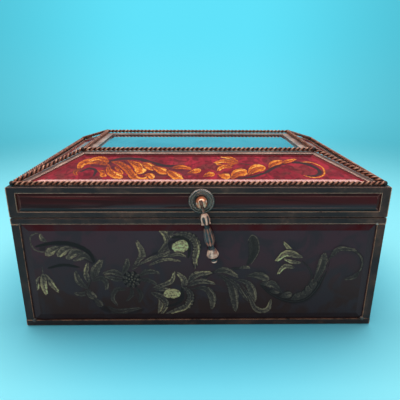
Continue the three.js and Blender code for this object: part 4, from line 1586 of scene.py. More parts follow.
def paint_short_wall(f: Foliage) -> None:
    """Half of a short wall: a curling leaf with a bellflower under its tip.

    Args:
        f: lays the motifs.
    """
    f.shade(9, (4, 14), (28, 10), (50, 18), (64, 40))
    f.lobes(9, 13, 0.42, (8, 14), (28, 8), (48, 16), (60, 34), (66, 56), (66, 72))
    f.stem(2, 0.25, (66, 66), (68, 80), (77, 89), (87, 83), (90, 70), (84, 60), (77, 66))
    f.blade(4.5, 0.45, (67, 72), (74, 86), (86, 84))
    f.line(0.8, 0.3, (86, 60), (85, 52))
    f.leaf(4.5, 0.6, (85, 50), (80, 40), (78, 30))
    f.leaf(4.5, 0.6, (86, 50), (90, 40), (92, 30))
    f.leaf(5.5, 0.7, (85.5, 51), (85.5, 38), (85, 25))
    f.petal(7, 0.5, (10, 30), (24, 38), (40, 34), veins=2)
    f.petal(7, 0.5, (6, 34), (20, 52), (38, 56), veins=2)
    f.petal(6, 0.42, (62, 60), (52, 74), (54, 92))
    f.leaf(6, 0.55, (4, 48), (18, 62), (24, 84))
    f.leaf(5, 0.5, (5, 46), (24, 66), (40, 80))


def paint_wall_flower(f: Foliage) -> None:
    """The large flower in the middle of a short wall, opening upwards.

    Args:
        f: lays the motifs.
    """
    f.stem(1.6, 0.2, (0, 6), (1, 22), (-1, 38), (0, 48))
    f.shade(22, (0, 44), (0, 66), (0, 84))
    f.petal(7, 0.6, (0, 44), (-12, 62), (-14, 90), veins=2)
    f.petal(7, 0.6, (0, 44), (12, 62), (14, 90), veins=2)
    f.frill(8, 0.68, (-15, 78), (-10, 92), (0, 96), (10, 92), (15, 78))
    f.line(3, 0.04, (-10, 74), (-6, 84), (0, 87), (6, 84), (10, 74))
    f.puff(13, 0.9, (0, 58), (0, 68), (0, 76))


Design = tuple[tuple[Callable[[Foliage], None], bool], ...]
LONG_WALL: Design = ((paint_long_wall, False),)
SHORT_WALL: Design = ((paint_short_wall, False), (paint_short_wall, True), (paint_wall_flower, False))
LONG_ROOF: Design = ((paint_long_roof, False),)
SHORT_ROOF: Design = ((paint_short_roof, False), (paint_short_roof, True), (paint_roof_flower, False))


class Glazing:
    """The panes and the foliage painted on them."""

    walls: dict[str, tuple[Vector, Design, Design]] = {
        "front": (Vector((0, -1, 0)), LONG_WALL, LONG_ROOF),
        "right": (Vector((1, 0, 0)), SHORT_WALL, SHORT_ROOF),
        "back": (Vector((0, 1, 0)), LONG_WALL, LONG_ROOF),
        "left": (Vector((-1, 0, 0)), SHORT_WALL, SHORT_ROOF),
    }
    roof_seed = 10

    def build(self) -> None:
        """Dresses every pane and paints the walls and the roof slopes."""
        wall_paint = WALL_PAINT.build(WALL_GLASS)
        roof_paint = ROOF_PAINT.build(ROOF_GLASS)
        for seed, (name, (outwards, wall_design, roof_design)) in enumerate(self.walls.items()):
            wall = Pane.of(f"{name}_glass", outwards)
            band = Pane.of(f"lid_{name}_band_glass", outwards)
            slope = Pane.of(f"roof_{name}_glass", outwards + Vector((0, 0, 2)))
            for pane, glass in ((wall, WALL_GLASS), (band, BAND_GLASS), (slope, ROOF_GLASS)):
                dress(glass.build(pane), pane.node)
            painted = self._paint(wall, wall_design, wall_paint, seed)
            add_piece(painted, f"{name}_painting", "box")
            painted = self._paint(slope, roof_design, roof_paint, seed + self.roof_seed)
            add_piece(painted, f"roof_{name}_painting", "lid")
        top = Pane.of("top_glass", Vector((0, 0, 1)))
        dress(TOP_MIRROR.build(top), top.node)

    @staticmethod
    def _paint(pane: Pane, design: Design, paint: Material, seed: float) -> Mesh:
        """Paints one pane.

        Args:
            pane: the pane.
            design: the functions that paint it, each with whether it is mirrored.
            paint: the paint.
            seed: makes its ragged edges its own.

        Returns:
            All of its strokes as one mesh.
        """
        brush = Brush(pane, seed)
        for paint_part, mirrored in design:
            paint_part(Foliage(brush, mirrored))
        return brush.draft.mesh("painting", paint, smooth=False)


# Wire trim


@dataclass
class WireTrim:
    """Two-strand wire round the eaves, up the hips and round the flat top."""

    diameter: float = 3.8 * MM
    strand_pitch: float = 4.4 * MM
    step: float = 0.62 * MM
    strand_sides: int = 8
    strand_share: float = 0.26
    bead: float = 4.3 * MM
    bead_crest: float = 0.7
    tuck: float = 2.2 * MM
    hip_lift: float = 0.38 * MM

    def _path(self) -> Mesh:
        """Straight lengths of wire as edges, with the soldered corners marked."""
        corners: list[Vector] = []
        soldered: list[bool] = []
        loops = []
        for node in ("eave_wire", "top_wire"):
            low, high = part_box(node)
            half = (high.z - low.z) / 2
            level = (low.z + high.z) / 2
            loop = rectangle(low.x + half, low.y + half, high.x - half, high.y - half, level)
            loops.append(loop)
            for i, start in enumerate(loop):
                corners.extend((start, loop[(i + 1) % 4]))
                soldered.extend((True, False))
        lift = Vector((0, 0, self.hip_lift))
        for foot, head in zip(*loops):
            along = (head - foot).normalized()
            corners.extend((foot + along * self.tuck + lift, head - along * self.tuck + lift))
            soldered.extend((False, False))
        mesh = bpy.data.meshes.new("wire_path")
        edges = [(i, i + 1) for i in range(0, len(corners), 2)]
        mesh.from_pydata([tuple(c) for c in corners], edges, [])
        mesh.attributes.new("soldered", "BOOLEAN", "POINT").data.foreach_set("value", soldered)
        return mesh

    def _strand(self, build: Build, path: Signal, phase: float) -> Signal:
        """One strand wound about the path.

        Args:
            build: the tree.
            path: the resampled curves, with the axis attribute.
            phase: the strand's turn at the start of each length, in radians.

        Returns:
            The strand's surface.
        """
        travel = build.signal("GeometryNodeSplineParameter", "Length")
        turn = travel * -math.pi / build.given("Pitch") + phase
        normal = build.geo("InputNormal")
        sideways = build.vector("CROSS_PRODUCT", build.geo("InputTangent"), normal)
        reach = build.given("Diameter") * 0.25
        offset = build.vector(
            "ADD",
            build.scaled(normal, turn.math("COSINE", turn) * reach),
            build.scaled(sideways, turn.math("SINE", turn) * reach),
        )
        wound = build.geo("SetPosition", Geometry=path, Offset=offset)
        radius = build.given("Diameter") * self.strand_share
        circle = build.geo("CurvePrimitiveCircle", Resolution=self.strand_sides, Radius=radius)
        return build.geo("CurveToMesh", Curve=wound, Profile_Curve=circle, Fill_Caps=True)

    def build(self) -> None:
        """Makes the trim as one piece of the lid."""
        build = Build(
            "twisted_wire", Diameter=self.diameter, Pitch=self.strand_pitch, Step=self.step, Bead=self.bead
        )
        corners = build.given("Path")
        lengths = build.geo("MeshToCurve", Mesh=corners)
        fine = build.geo("ResampleCurve", {"mode": "LENGTH"}, Curve=lengths, Length=build.given("Step"))
        here = build.geo("InputPosition")
        store = "StoreNamedAttribute"
        vectors = {"data_type": "FLOAT_VECTOR"}
        path = build.geo(store, {**vectors, "domain": "POINT"}, Geometry=fine, Name="axis", Value=here)
        strands = build.join(self._strand(build, path, 0.0), self._strand(build, path, math.pi))
        axis = build.geo("InputNamedAttribute", vectors, Name="axis")
        away = build.vector("DISTANCE", here, axis, output="Value")
        crest = away / (build.given("Diameter") * 0.5)
        numbers = {"data_type": "FLOAT", "domain": "POINT"}
        wire = build.geo(store, numbers, Geometry=strands, Name="crest", Value=crest)
        ball = build.geo("MeshIcoSphere", Radius=build.given("Bead") * 0.5, Subdivisions=3)
        soldered = build.geo("InputNamedAttribute", {"data_type": "BOOLEAN"}, Name="soldered")
        beads = build.geo("InstanceOnPoints", Points=corners, Selection=soldered, Instance=ball)
        real = build.geo("RealizeInstances", Geometry=beads)
        lumps = build.geo(store, numbers, Geometry=real, Name="crest", Value=self.bead_crest)
        mesh = build.run(self._path(), build.join(wire, lumps), WIRE_METAL.build())
        hips = [f"hip_{corner}_wire" for corner in CORNERS]
        add_piece(mesh, "twisted_wire_trim", "lid", ["eave_wire", "top_wire", *hips])


# Solder


@dataclass
class SolderJoints:
    """Small uneven lumps of solder where the bars of each window meet."""

    radius: float = 2.2 * MM
    upper_share: float = 0.62
    sunk: float = 0.5
    side_sunk: float = 1.12
    roughness: float = 0.35 * MM
    wave_scale: float = 700.0

    def _joints(self) -> Mesh:
        """The middles of the lumps as points, with the size of each."""
        half_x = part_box("front_corner_post")[1].x
        half_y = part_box("right_corner_post")[1].y
        spots: list[tuple[float, ...]] = []
        sizes: list[float] = []
        for wall in WALLS:
            low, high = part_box(f"{wall}_top_rail")
            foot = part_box(f"{wall}_bottom_rail")[1].z
            for level, size in ((foot, 1.0), (low.z, self.upper_share)):
                inset = self.radius * size * (self.sunk if wall in ("front", "back") else self.side_sunk)
                for side in (-1, 1):
                    spots.append({
                        "front": (side * half_x, low.y + inset, level),
                        "right": (high.x - inset, side * half_y, level),
                        "back": (side * half_x, high.y - inset, level),
                        "left": (low.x + inset, side * half_y, level),
                    }[wall])
                    sizes.append(size)
        mesh = bpy.data.meshes.new("joints")
        mesh.from_pydata(spots, [], [])
        mesh.attributes.new("size", "FLOAT", "POINT").data.foreach_set("value", sizes)
        return mesh

    def build(self) -> None:
        """Makes the lumps as one piece of the box."""
        build = Build("solder_lumps", Radius=self.radius, Roughness=self.roughness)
        lump = build.geo("MeshIcoSphere", Radius=build.given("Radius"), Subdivisions=3)
        size = build.geo("InputNamedAttribute", {"data_type": "FLOAT"}, Name="size")
        set_down = build.geo("InstanceOnPoints", Points=build.given("Path"), Instance=lump, Scale=size)
        real = build.geo("RealizeInstances", Geometry=set_down)
        here = build.geo("InputPosition")
        wave = build.signal("ShaderNodeTexNoise", 0, {}, {"Vector": here, "Scale": self.wave_scale})
        offset = build.scaled(build.geo("InputNormal"), (wave - 0.6) * 2.0 * build.given("Roughness"))
        uneven = build.geo("SetPosition", Geometry=real, Offset=offset)
        mesh = build.run(self._joints(), build.join(uneven), SOLDER.build())
        add_piece(mesh, "frame_solder", "box")


# Drop pull


@dataclass
class DropPull:
    """Round plate, slotted boss and hanging drop, cast in detail in the place of their solids.

    The outlines are pairs of a radius and a height. Those of the plate are in millimetres and in
    shares of its thickness; those of the drop are shares of its radius and of its length.
    """

    plate_thickness: float = 1.2 * MM
    plate_outline: tuple[Shares, ...] = (
        (4.0, 0.0), (9.72, 0.0), (10.746, 0.2), (10.8, 0.6), (10.584, 1.0), (8.65, 1.0), (8.25, 1.25),
        (8.1, 1.0), (6.5, 1.0), (6.0, 1.35), (5.3, 1.2), (4.0, 1.0),
    )
    ring_radii: Pair = (9.75 * MM, 7.3 * MM)
    ring_beads: tuple[int, int] = (40, 36)
    bead_radii: Pair = (0.78 * MM, 0.55 * MM)
    drop_radius: float = 5.24 * MM
    cap_start: float = 9.7 * MM
    drop_reach: float = 56.4 * MM
    tongue: float = 2.0 * MM
    eye: float = 4.6 * MM
    eye_hole: float = 2.4 * MM
    ball_radius: float = 0.95 * MM
    ball_spread: float = 3.2 * MM
    ball_reach: float = 19.0 * MM
    flutes: int = 8
    flute_depth: float = 0.2
    leaves: int = 5
    leaf_depth: float = 0.17
    petal_depth: float = 0.12
    outline: tuple[Shares, ...] = (
        (0.26, 0.0), (0.46, 0.012), (0.60, 0.05), (0.66, 0.11), (0.64, 0.165), (0.56, 0.205),
        (0.40, 0.232), (0.42, 0.250), (0.52, 0.275), (0.66, 0.34), (0.79, 0.43), (0.82, 0.49),
        (0.74, 0.565), (0.56, 0.62), (0.42, 0.65), (0.40, 0.668), (0.54, 0.69), (0.74, 0.735),
        (0.93, 0.785), (1.0, 0.822), (0.88, 0.852), (0.60, 0.874), (0.34, 0.889), (0.40, 0.905),
        (0.50, 0.93), (0.48, 0.962), (0.32, 0.988), (0.10, 0.999),
    )
    leaf_end: float = 0.235
    vase: Pair = (0.26, 0.64)
    collar: Pair = (0.70, 0.87)
    knob_start: float = 0.89
    # How bright each part is: rubbed wear together with painted highlight and painted shade.
    leaf_wear_and_light: float = 0.62
    vase_wear_and_light: float = 0.7
    collar_wear_and_light: float = 1.0
    knob_wear_and_light: float = 0.2
    tongue_wear_and_light: float = 0.72
    ball_wear_and_light: float = 0.95

    def _frame(self) -> Matrix:
        """The drop's own frame: X along its pin, Z up the drop, origin on the pin."""
        joint = next(j for j in frame["joints"] if j["name"] == "pull_lift")
        x_axis = -Vector(joint["axis"]).normalized()
        y_axis = Vector((0, 1, 0))
        turn = Matrix((x_axis, y_axis, x_axis.cross(y_axis))).transposed().to_4x4()
        return Matrix.Translation(Vector(joint["pos_m"])) @ turn

    def _share(self, height: float) -> float:
        """How far down the drop a height in its frame is."""
        return (-height - self.cap_start) / (self.drop_reach - self.cap_start)

    def _swell(self, angle: float, height: float) -> float:
        """Flutes, leaf points and petals.

        Args:
            angle: the place round the drop.
            height: its height in the drop's frame.

        Returns:
            A factor on the radius of the drop.
        """
        share = self._share(height)
        if share < self.leaf_end:
            fade = math.sin(math.pi * share / self.leaf_end)
            return 1 + self.leaf_depth * fade * math.cos(self.leaves * angle)
        for start, end in (self.vase, self.collar):
            if start < share < end:
                bow = math.sin(math.pi * (share - start) / (end - start))
                if start == self.vase[0]:
                    return 1 - self.flute_depth * bow**0.5 * abs(math.sin(self.flutes * angle / 2)) ** 5
                return 1 - self.petal_depth * bow * (1 - abs(math.cos(4 * angle)))
        return 1.0

    def _radius(self, share: float) -> float:
        """The outline's radius.

        Args:
            share: how far down the outline.

        Returns:
            A share of the drop's greatest radius.
        """
        for (near, start), (far, end) in zip(self.outline, self.outline[1:]):
            if share <= end:
                return near + (far - near) * (share - start) / (end - start)
        return 0.0

    def _crest(self, angle: float, height: float) -> float:
        """How bright a place is: rubbed wear, with painted highlights on ridges and bulges and painted shade
        in grooves and necks.

        Args:
            angle: the place round the drop.
            height: its height in the drop's frame.

        Returns:
            0 in grooves and necks and 1 on ridges and bulges.
        """
        share = self._share(height)
        around = (self._radius(share - 0.05) + self._radius(share + 0.05)) / 2
        bulge = (self._radius(share) - around) / 0.1
        groove_shade = (1 - self._swell(angle, height)) / 0.2
        wear_and_light = self.vase_wear_and_light
        if share < self.leaf_end:
            wear_and_light = self.leaf_wear_and_light
        elif share > self.collar[0]:
            wear_and_light = self.collar_wear_and_light if share < self.knob_start else self.knob_wear_and_light
        return min(max(wear_and_light + 0.32 * bulge - 0.5 * groove_shade, 0.0), 1.0)

    def _drop(self) -> None:
        """The hanging drop with its tongue and eye."""
        place = self._frame()
        draft = Draft("crest")
        length = self.drop_reach - self.cap_start
        profile = [(self.drop_radius * r, -self.cap_start - length * h) for r, h in smoothed(self.outline, 5)]
        profile = [(0.0, profile[0][1]), *profile, (0.0, -self.drop_reach)]
        turned(draft, profile, place, 80, self._swell, self._crest)
        self._tongue(draft, place)
        steps = 12
        angles = [math.pi * i / steps for i in range(1, steps)]
        poles = (0.0, -self.ball_radius), (0.0, self.ball_radius)
        inner = [(self.ball_radius * math.sin(a), -self.ball_radius * math.cos(a)) for a in angles]
        for side in (-1, 1):
            middle = Matrix.Translation((side * self.ball_spread, 0, -self.ball_reach))
            ball = [poles[0], *inner, poles[1]]
            turned(draft, ball, place @ middle, 20, crest=lambda angle, height: self.ball_wear_and_light)
        mesh = draft.mesh("pull_drop_cast", DROP_METAL.build())
        add_piece(mesh, "pull_drop_cast", "pull", ["pull_drop"])

    def _tongue(self, draft: Draft, place: Matrix) -> None:
        """Draws a flat eye round the pin, and the neck that joins it to the cap.

        Args:
            draft: what it is drawn into.
            place: the drop's frame.
        """
        half = self.tongue / 2
        soft = half * 0.8
        section = (
            (self.eye_hole / 2, -soft), (self.eye_hole / 2, soft),
            (self.eye / 2 - half * 0.2, half), (self.eye / 2, soft),
            (self.eye / 2, -soft), (self.eye / 2 - half * 0.2, -half),
        )
        sides = 28
        rings = []
        for i in range(sides):
            angle = math.tau * i / sides
            radial = Vector((0, math.cos(angle), math.sin(angle)))
            spots = [place @ (radial * radius + Vector((x, 0, 0))) for radius, x in section]
            rings.append([draft.corner(spot, crest=self.tongue_wear_and_light) for spot in spots])
        draft.skin([*rings, rings[0]])
        top = -self.eye_hole / 2 - half * 0.4
        foot = -self.cap_start - half
        neck = [
            (0, top), (half * 0.7, top), (half, top - half * 0.4), (half * 0.86, (top + foot) / 2),
            (half, foot + half), (half * 1.2, foot), (0, foot),
        ]
        turned(draft, neck, place, 16, crest=lambda angle, height: self.tongue_wear_and_light)

    def _plate(self) -> None:
        """The round plate with its two rings of beads."""
        low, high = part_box("pull_plate")
        middle = (low + high) / 2
        turn = Matrix.Rotation(math.radians(90), 4, "X")
        place = Matrix.Translation((middle.x, high.y, middle.z)) @ turn
        outline = [(radius * MM, height * self.plate_thickness) for radius, height in self.plate_outline]
        profile = smoothed(outline, 3)
        draft = Draft()
        turned(draft, [*profile, profile[0]], place, 96)
        mesh = draft.mesh("pull_plate_cast", PLATE_METAL.build())
        add_piece(mesh, "pull_plate_cast", "lid", ["pull_plate"])
        self._bead_rings(place)

    def _bead_rings(self, place: Matrix) -> None:
        """Sets both rings of beads on the plate.

        Args:
            place: the plate's frame, Z out of its face.
        """
        build = Build(
            "bead_rings",
            OuterBead=self.bead_radii[0], InnerBead=self.bead_radii[1],
            OuterRing=self.ring_radii[0], InnerRing=self.ring_radii[1],
            Face=self.plate_thickness, Place=tuple(place.translation),
        )
        parts = []
        for kind, count in zip(("Outer", "Inner"), self.ring_beads):
            ring = build.geo("MeshCircle", Vertices=count, Radius=build.given(f"{kind}Ring"))
            bead = build.geo("MeshIcoSphere", Radius=build.given(f"{kind}Bead"), Subdivisions=2)
            beads = build.geo("InstanceOnPoints", Points=ring, Instance=bead)
            lift = build.signal("ShaderNodeCombineXYZ", 0, {}, {2: build.given("Face")})
            raised = build.geo("Transform", Geometry=beads, Translation=lift)
            rotation = tuple(place.to_euler())
            parts.append(
                build.geo("Transform", Geometry=raised, Translation=build.given("Place"), Rotation=rotation)
            )
        mesh = build.run(bpy.data.meshes.new("no_path"), build.join(*parts), AGED_COPPER.build())
        add_piece(mesh, "pull_plate_beads", "lid")

    def build(self) -> None:
        """Makes the plate and the drop, and dresses the boss, the pin and the nut."""
        self._plate()
        self._drop()
        dress(BRIGHT_COPPER.build(), "pull_boss")
        dress(AGED_COPPER.build(), "pull_pin", "pull_nut")


# Lining and felt


@dataclass
class Panel:
    """A flat panel between four corners, padded on one side."""

    corners: Sequence[Vector]
    inwards: Vector
    edge_share: float = 0.8
    ripple: float = 0.12
    ripple_scale: float = 40

    def draw(self, draft: Draft, thickness: float, crown: float, cell: float) -> None:
        """Draws the panel as a closed form.

        Args:
            draft: what it is drawn into.
            thickness: its thickness along its edges.
            crown: how much thicker it is in its middle.
            cell: the size of its mesh.
        """
        a, b, c, d = self.corners
        columns = max(4, round(max((b - a).length, (c - d).length) / cell))
        rows = max(3, round(max((d - a).length, (c - b).length) / cell))
        front: list[list[int]] = []
        back: list[list[int]] = []
        for j in range(rows + 1):
            v = j / rows
            left, right = a.lerp(d, v), b.lerp(c, v)
            for grid, padded in ((front, True), (back, False)):
                grid.append([])
                for i in range(columns + 1):
                    u = i / columns
                    spot = left.lerp(right, u)
                    swell = min(1.0, 16 * u * (1 - u)) ** 0.5 * min(1.0, 12 * v * (1 - v)) ** 0.5
                    ripple = self.ripple * noise.noise(spot * self.ripple_scale) * swell
                    depth = thickness * self.edge_share + crown * (swell + ripple) if padded else 0.0
                    grid[-1].append(draft.corner(spot + self.inwards * depth))
        for grid in (front, back):
            for low, high in zip(grid, grid[1:]):
                draft.skin([low, high], closed=False)
        draft.skin([self._edge(front), self._edge(back)])

    @staticmethod
    def _edge(grid: Sequence[Sequence[int]]) -> list[int]:
        """The corners round a grid."""
        inner = grid[1:-1]
        return [*grid[0], *(row[-1] for row in inner), *grid[-1][::-1], *(row[0] for row in inner[::-1])]


@dataclass
class Lining:
    """Velvet on thin card: a tray in the box, a hipped hood in the lid, and felt under the foot."""

    thickness: float = 1.0 * MM
    crown: float = 0.9 * MM
    cell: float = 5.0 * MM
    gap: float = 0.15 * MM
    hood_foot: float = 128.17 * MM
    hood_top: Pair = (109.21 * MM, 54.7 * MM)
    nut_hole: float = 4.8 * MM
    nut_reach: float = 4.0 * MM
    sliver: float = 0.002 * MM
    felt_edge: float = 0.8
    felt_crown: float = 0.32

    def _walls(self, low: Vector, high: Vector, top: float, level: float) -> list[Panel]:
        """Four upright panels on the inside of a box.

        Args:
            low: the box's lowest corner.
            high: its highest corner.
            top: the height that the panels reach.
            level: the height of their feet.

        Returns:
            The panels, front, right, back and left.
        """
        g, t = self.gap, self.thickness
        x0, x1, y0, y1 = low.x, high.x, low.y, high.y
        rows = (
            ((x0 + g, y0), (x1 - g, y0), (0, 1)),
            ((x1, y0 + t), (x1, y1 - t), (-1, 0)),
            ((x1 - g, y1), (x0 + g, y1), (0, -1)),
            ((x0, y1 - t), (x0, y0 + t), (1, 0)),
        )
        panels = []
        for start, end, inwards in rows:
            ends = ((*start, level), (*end, level), (*end, top), (*start, top))
            panels.append(Panel([Vector(corner) for corner in ends], Vector((*inwards, 0))))
        return panels

    def _tray(self, finish: Material) -> None:
        """Makes the lining of the box.

        Args:
            finish: its velvet.
        """
        low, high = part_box("box_lining")
        floor = Panel(rectangle(low.x, low.y, high.x, high.y, low.z), Vector((0, 0, 1)))
        walls = self._walls(low, high, high.z, low.z + self.thickness)
        mesh = self._drawn("velvet_tray", [floor, *walls], finish)
        add_piece(mesh, "velvet_tray", "box", ["box_lining"])

    def _hood(self, finish: Material) -> None:
        """Makes the lining of the lid, with a hole for the nut of the pull.

        Args:
            finish: its velvet.
        """
        low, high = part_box("lid_lining")
        walls = self._walls(low, high, self.hood_foot, low.z)
        half_x, half_y = self.hood_top
        eaves = rectangle(low.x, low.y, high.x, high.y, self.hood_foot)
        ridge = rectangle(-half_x, -half_y, half_x, half_y, high.z)
        slopes = []
        for i in range(4):
            j = (i + 1) % 4
            inwards = -(eaves[j] - eaves[i]).cross(ridge[i] - eaves[i]).normalized()
            slopes.append(Panel((eaves[i], eaves[j], ridge[j], ridge[i]), inwards))
        ceiling = Panel(ridge, Vector((0, 0, -1)))
        mesh = self._pierced(self._drawn("velvet_hood", [*walls, *slopes, ceiling], finish))
        add_piece(mesh, "velvet_hood", "lid", ["lid_lining"])

    def _drawn(self, name: str, panels: Iterable[Panel], finish: Material) -> Mesh:
        """Draws a lining.

        Args:
            name: its name.
            panels: its panels.
            finish: its velvet.

        Returns:
            The lining.
        """
        draft = Draft()
        for panel in panels:
            panel.draw(draft, self.thickness, self.crown, self.cell)
        return draft.mesh(name, finish)

    def _pierced(self, mesh: Mesh) -> Mesh:
        """The hood with a round hole through its front for the nut.

        Args:
            mesh: the whole hood.

        Returns:
            The hood with the hole.
        """
        low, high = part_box("pull_nut")
        place = Matrix.Translation((low + high) / 2) @ Matrix.Rotation(math.radians(90), 4, "X")
        plug = Draft()
        radius, reach = self.nut_hole, self.nut_reach
        turned(plug, [(0, -reach), (radius, -reach), (radius, reach), (0, reach)], place, 24)
        cutter = bpy.data.objects.new("cutter", plug.mesh("cutter", smooth=False))
        host = bpy.data.objects.new("host", mesh)
        for made in (cutter, host):
            put(made)
        cut = host.modifiers.new("cut", "BOOLEAN")
        cut.object = cutter
        cut.solver = "EXACT"
        cut.use_self = True
        graph = bpy.context.evaluated_depsgraph_get()
        pierced = bpy.data.meshes.new_from_object(host.evaluated_get(graph), depsgraph=graph)
        for made in (cutter, host):
            bpy.data.objects.remove(made)
        cleaned(pierced, self.sliver, slivers=True)
        return pierced

    def _felt(self) -> None:
        """The felt under the foot, a little crushed along its edges."""
        low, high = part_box("base_felt")
        a, b, c, d = rectangle(low.x, low.y, high.x, high.y, high.z)
        draft = Draft()
        depth = high.z - low.z
        sole = Panel((a, d, c, b), Vector((0, 0, -1)))
        sole.draw(draft, depth * self.felt_edge, depth * self.felt_crown, self.cell)
        mesh = draft.mesh("foot_felt", GREEN_FELT.build())
        piece = add_piece(mesh, "foot_felt", "box", ["base_felt"])

    def build(self) -> None:
        """Makes the tray, the hood and the felt."""
        velvet = BOX_VELVET.build()
        self._tray(velvet)
        self._hood(velvet)
        self._felt()


# Metalwork and boards


class Metalwork:
    """Finishes of the bars, the hinge and the boards."""

    def build(self) -> None:
        """Dresses every bar, board and hinge part."""
        bars = [f"{wall}_{bar}" for wall in WALLS for bar in ("bottom_rail", "corner_post")]
        dress(FRAME_METAL.build(), *bars)
        bands = [f"lid_{wall}_band" for wall in WALLS]
        dress(RIM_METAL.build(), *(f"{wall}_top_rail" for wall in WALLS), *bands)
        hips = [f"hip_{corner}_bar" for corner in CORNERS]
        dress(ROOF_METAL.build(), *hips, *(f"top_{wall}_bar" for wall in WALLS))
        dress(HINGE_METAL.build(), "hinge_box_leaf", "hinge_lid_leaf", "hinge_rod")
        dress(BOARD.build(), "base_board", *(f"{wall}_board" for wall in WALLS))
        LOG.info("bars, hinge and boards dressed")


# Floor, lamps and camera


@dataclass(frozen=True)
class SoftLamp:
    """A rectangular lamp aimed at a place."""

    name: str
    place: Triple
    aim: Triple
    size: Pair
    power: float
    kept_off: tuple[str, ...] = ()

    def hang(self) -> None:
        """Puts the lamp into the scene and keeps it off the nodes that would only mirror it."""
        data = bpy.data.lights.new(self.name, "AREA")
        data.shape = "RECTANGLE"
        data.size, data.size_y = self.size
        data.energy = self.power
        lamp = bpy.data.objects.new(self.name, data)
        way = Vector(self.aim) - Vector(self.place)
        turn = way.to_track_quat("-Z", "Y").to_matrix().to_4x4()
        lamp.matrix_world = Matrix.Translation(self.place) @ turn
        put(lamp)
        if self.kept_off:
            receivers = bpy.data.collections.new(f"{self.name}_kept_off")
            for node in self.kept_off:
                receivers.objects.link(frame["nodes"][node])
            for entry in receivers.collection_objects:
                entry.light_linking.link_state = "EXCLUDE"
            lamp.light_linking.receiver_collection = receivers


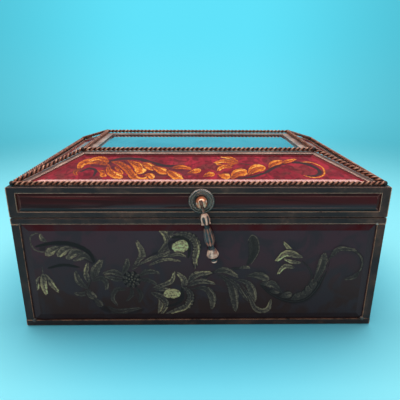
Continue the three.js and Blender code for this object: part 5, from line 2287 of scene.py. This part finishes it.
@dataclass
class Stage:
    """The pale floor that turns up into a wall all round, the soft lamps and the camera."""

    eye: Triple = (-4.56 * MM, -419.72 * MM, 227.66 * MM)
    look_down: float = 18.77
    look_right: float = 0.89
    roll: float = 0.25
    lens: float = 34.86
    # Painted shadow: the floor's colour near the object.
    painted_shadow_colour: Colour = srgb(0x68D2EA)
    floor_colour: Colour = srgb(0x94EAF6)
    wall_colour: Colour = srgb(0x60E2FA)
    bounce_colour: Colour = srgb(0xD8DCDC)
    fill_colour: Colour = srgb(0xF2F4F6)
    fill_power: float = 0.36
    floor_radii: tuple[float, ...] = (0.0, 0.4, 1.0, 1.7)
    bend: float = 0.6
    bend_steps: int = 14
    wall_top: float = 1.5
    overhead: SoftLamp = SoftLamp(
        "overhead", (0.0, 0.2, 1.3), (0.0, 0.12, 0.0), (1.7, 0.7), 16.5, ("top_glass",)
    )
    key: SoftLamp = SoftLamp("key", (-0.3, -0.85, 0.8), (0.0, -0.1, 0.1), (0.9, 0.4), 2.4)

    def camera(self) -> None:
        """Sets up the camera at the photograph's angle."""
        data = bpy.data.cameras.new("camera")
        data.lens = self.lens
        data.sensor_width = 36
        data.clip_start = 0.01
        turns = ((-self.look_right, "Z"), (90 - self.look_down, "X"), (self.roll, "Z"))
        first, second, third = (Matrix.Rotation(math.radians(angle), 4, axis) for angle, axis in turns)
        camera = bpy.data.objects.new("camera", data)
        camera.matrix_world = Matrix.Translation(self.eye) @ (first @ second @ third)
        put(camera)
        bpy.context.scene.camera = camera

    def _backdrop_finish(self) -> Material:
        """Matt colour that is lit on the floor, with a painted shadow near the object, and shines behind the
        object, with painted shade towards the sides.
        """
        shader = Shader("backdrop")
        place = shader.place()
        radius = shader.vector("LENGTH", shader.stretched(place, (1.0, 1.0, 0.0)), output="Value")
        back = shader.along(place, (0, 1, 0)).ramp(-0.5, 0.25)
        far = (radius - 0.2 * (1.0 - back)).ramp(0.26, 1.1)
        rise = shader.along(place, (0, 0, 1)).ramp(0.0, 0.5)
        # Painted shadow: the floor is darker and bluer near the object.
        floor = shader.mix(radius.ramp(0.14, 0.28), self.painted_shadow_colour, self.floor_colour)
        colour = shader.mix(far * 0.85 + rise * 0.15, floor, self.wall_colour)
        path = shader.node("ShaderNodeLightPath")
        seen = Signal(shader, path.outputs["Is Camera Ray"])
        for name in ("Is Glossy Ray", "Is Transmission Ray"):
            seen = seen.top(Signal(shader, path.outputs[name]))
        lit = shader.mix(seen, self.bounce_colour, colour)
        glow = seen * far
        # Painted shade: the glowing wall is darker towards the sides.
        sideways = (abs(shader.along(place, (1, 0, 0))) / radius).ramp(0.12, 0.75)
        wall = 1.0 - 0.4 * sideways
        return shader.surface(
            Base_Color=shader.mix(glow, lit, srgb(0)),
            Roughness=0.9,
            Specular_IOR_Level=0.0,
            Emission_Color=shader.mix(glow * wall, srgb(0), colour),
            Emission_Strength=1.0,
        )

    def backdrop(self) -> None:
        """Makes the floor, which turns up into a round wall."""
        profile = [(radius, 0.0) for radius in self.floor_radii]
        edge = profile[-1][0]
        for i in range(1, self.bend_steps + 1):
            angle = math.radians(90) * i / self.bend_steps
            profile.append((edge + self.bend * math.sin(angle), self.bend * (1 - math.cos(angle))))
        profile.append((profile[-1][0], self.wall_top))
        draft = Draft()
        turned(draft, profile, Matrix.Identity(4), 96)
        mesh = draft.mesh("backdrop", self._backdrop_finish())
        mesh.flip_normals()
        backdrop = bpy.data.objects.new("backdrop", mesh)
        put(backdrop)

    def lamps(self) -> None:
        """Hangs a large soft lamp overhead and one in front, and fills in from above."""
        self.overhead.hang()
        self.key.hang()
        world = bpy.data.worlds.new("studio")
        world.use_nodes = True
        bpy.context.scene.world = world
        graph = Graph(world.node_tree)
        inputs = {"Color": self.fill_colour, "Strength": self.fill_power}
        fill = graph.signal("ShaderNodeBackground", 0, {}, inputs)
        graph.node("ShaderNodeOutputWorld", {}, {"Surface": fill})

    def build(self) -> None:
        """Sets up everything that isn't the object."""
        self.camera()
        self.backdrop()
        self.lamps()
        bpy.context.scene.view_settings.view_transform = "Standard"
        LOG.info("stage is set")


def main() -> None:
    """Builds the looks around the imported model."""
    logging.basicConfig(level=logging.INFO, format="%(name)s: %(message)s")
    for part in (Stage(), Metalwork(), Glazing(), WireTrim(), SolderJoints(), DropPull(), Lining()):
        part.build()


if __name__ == "__main__":
    main()
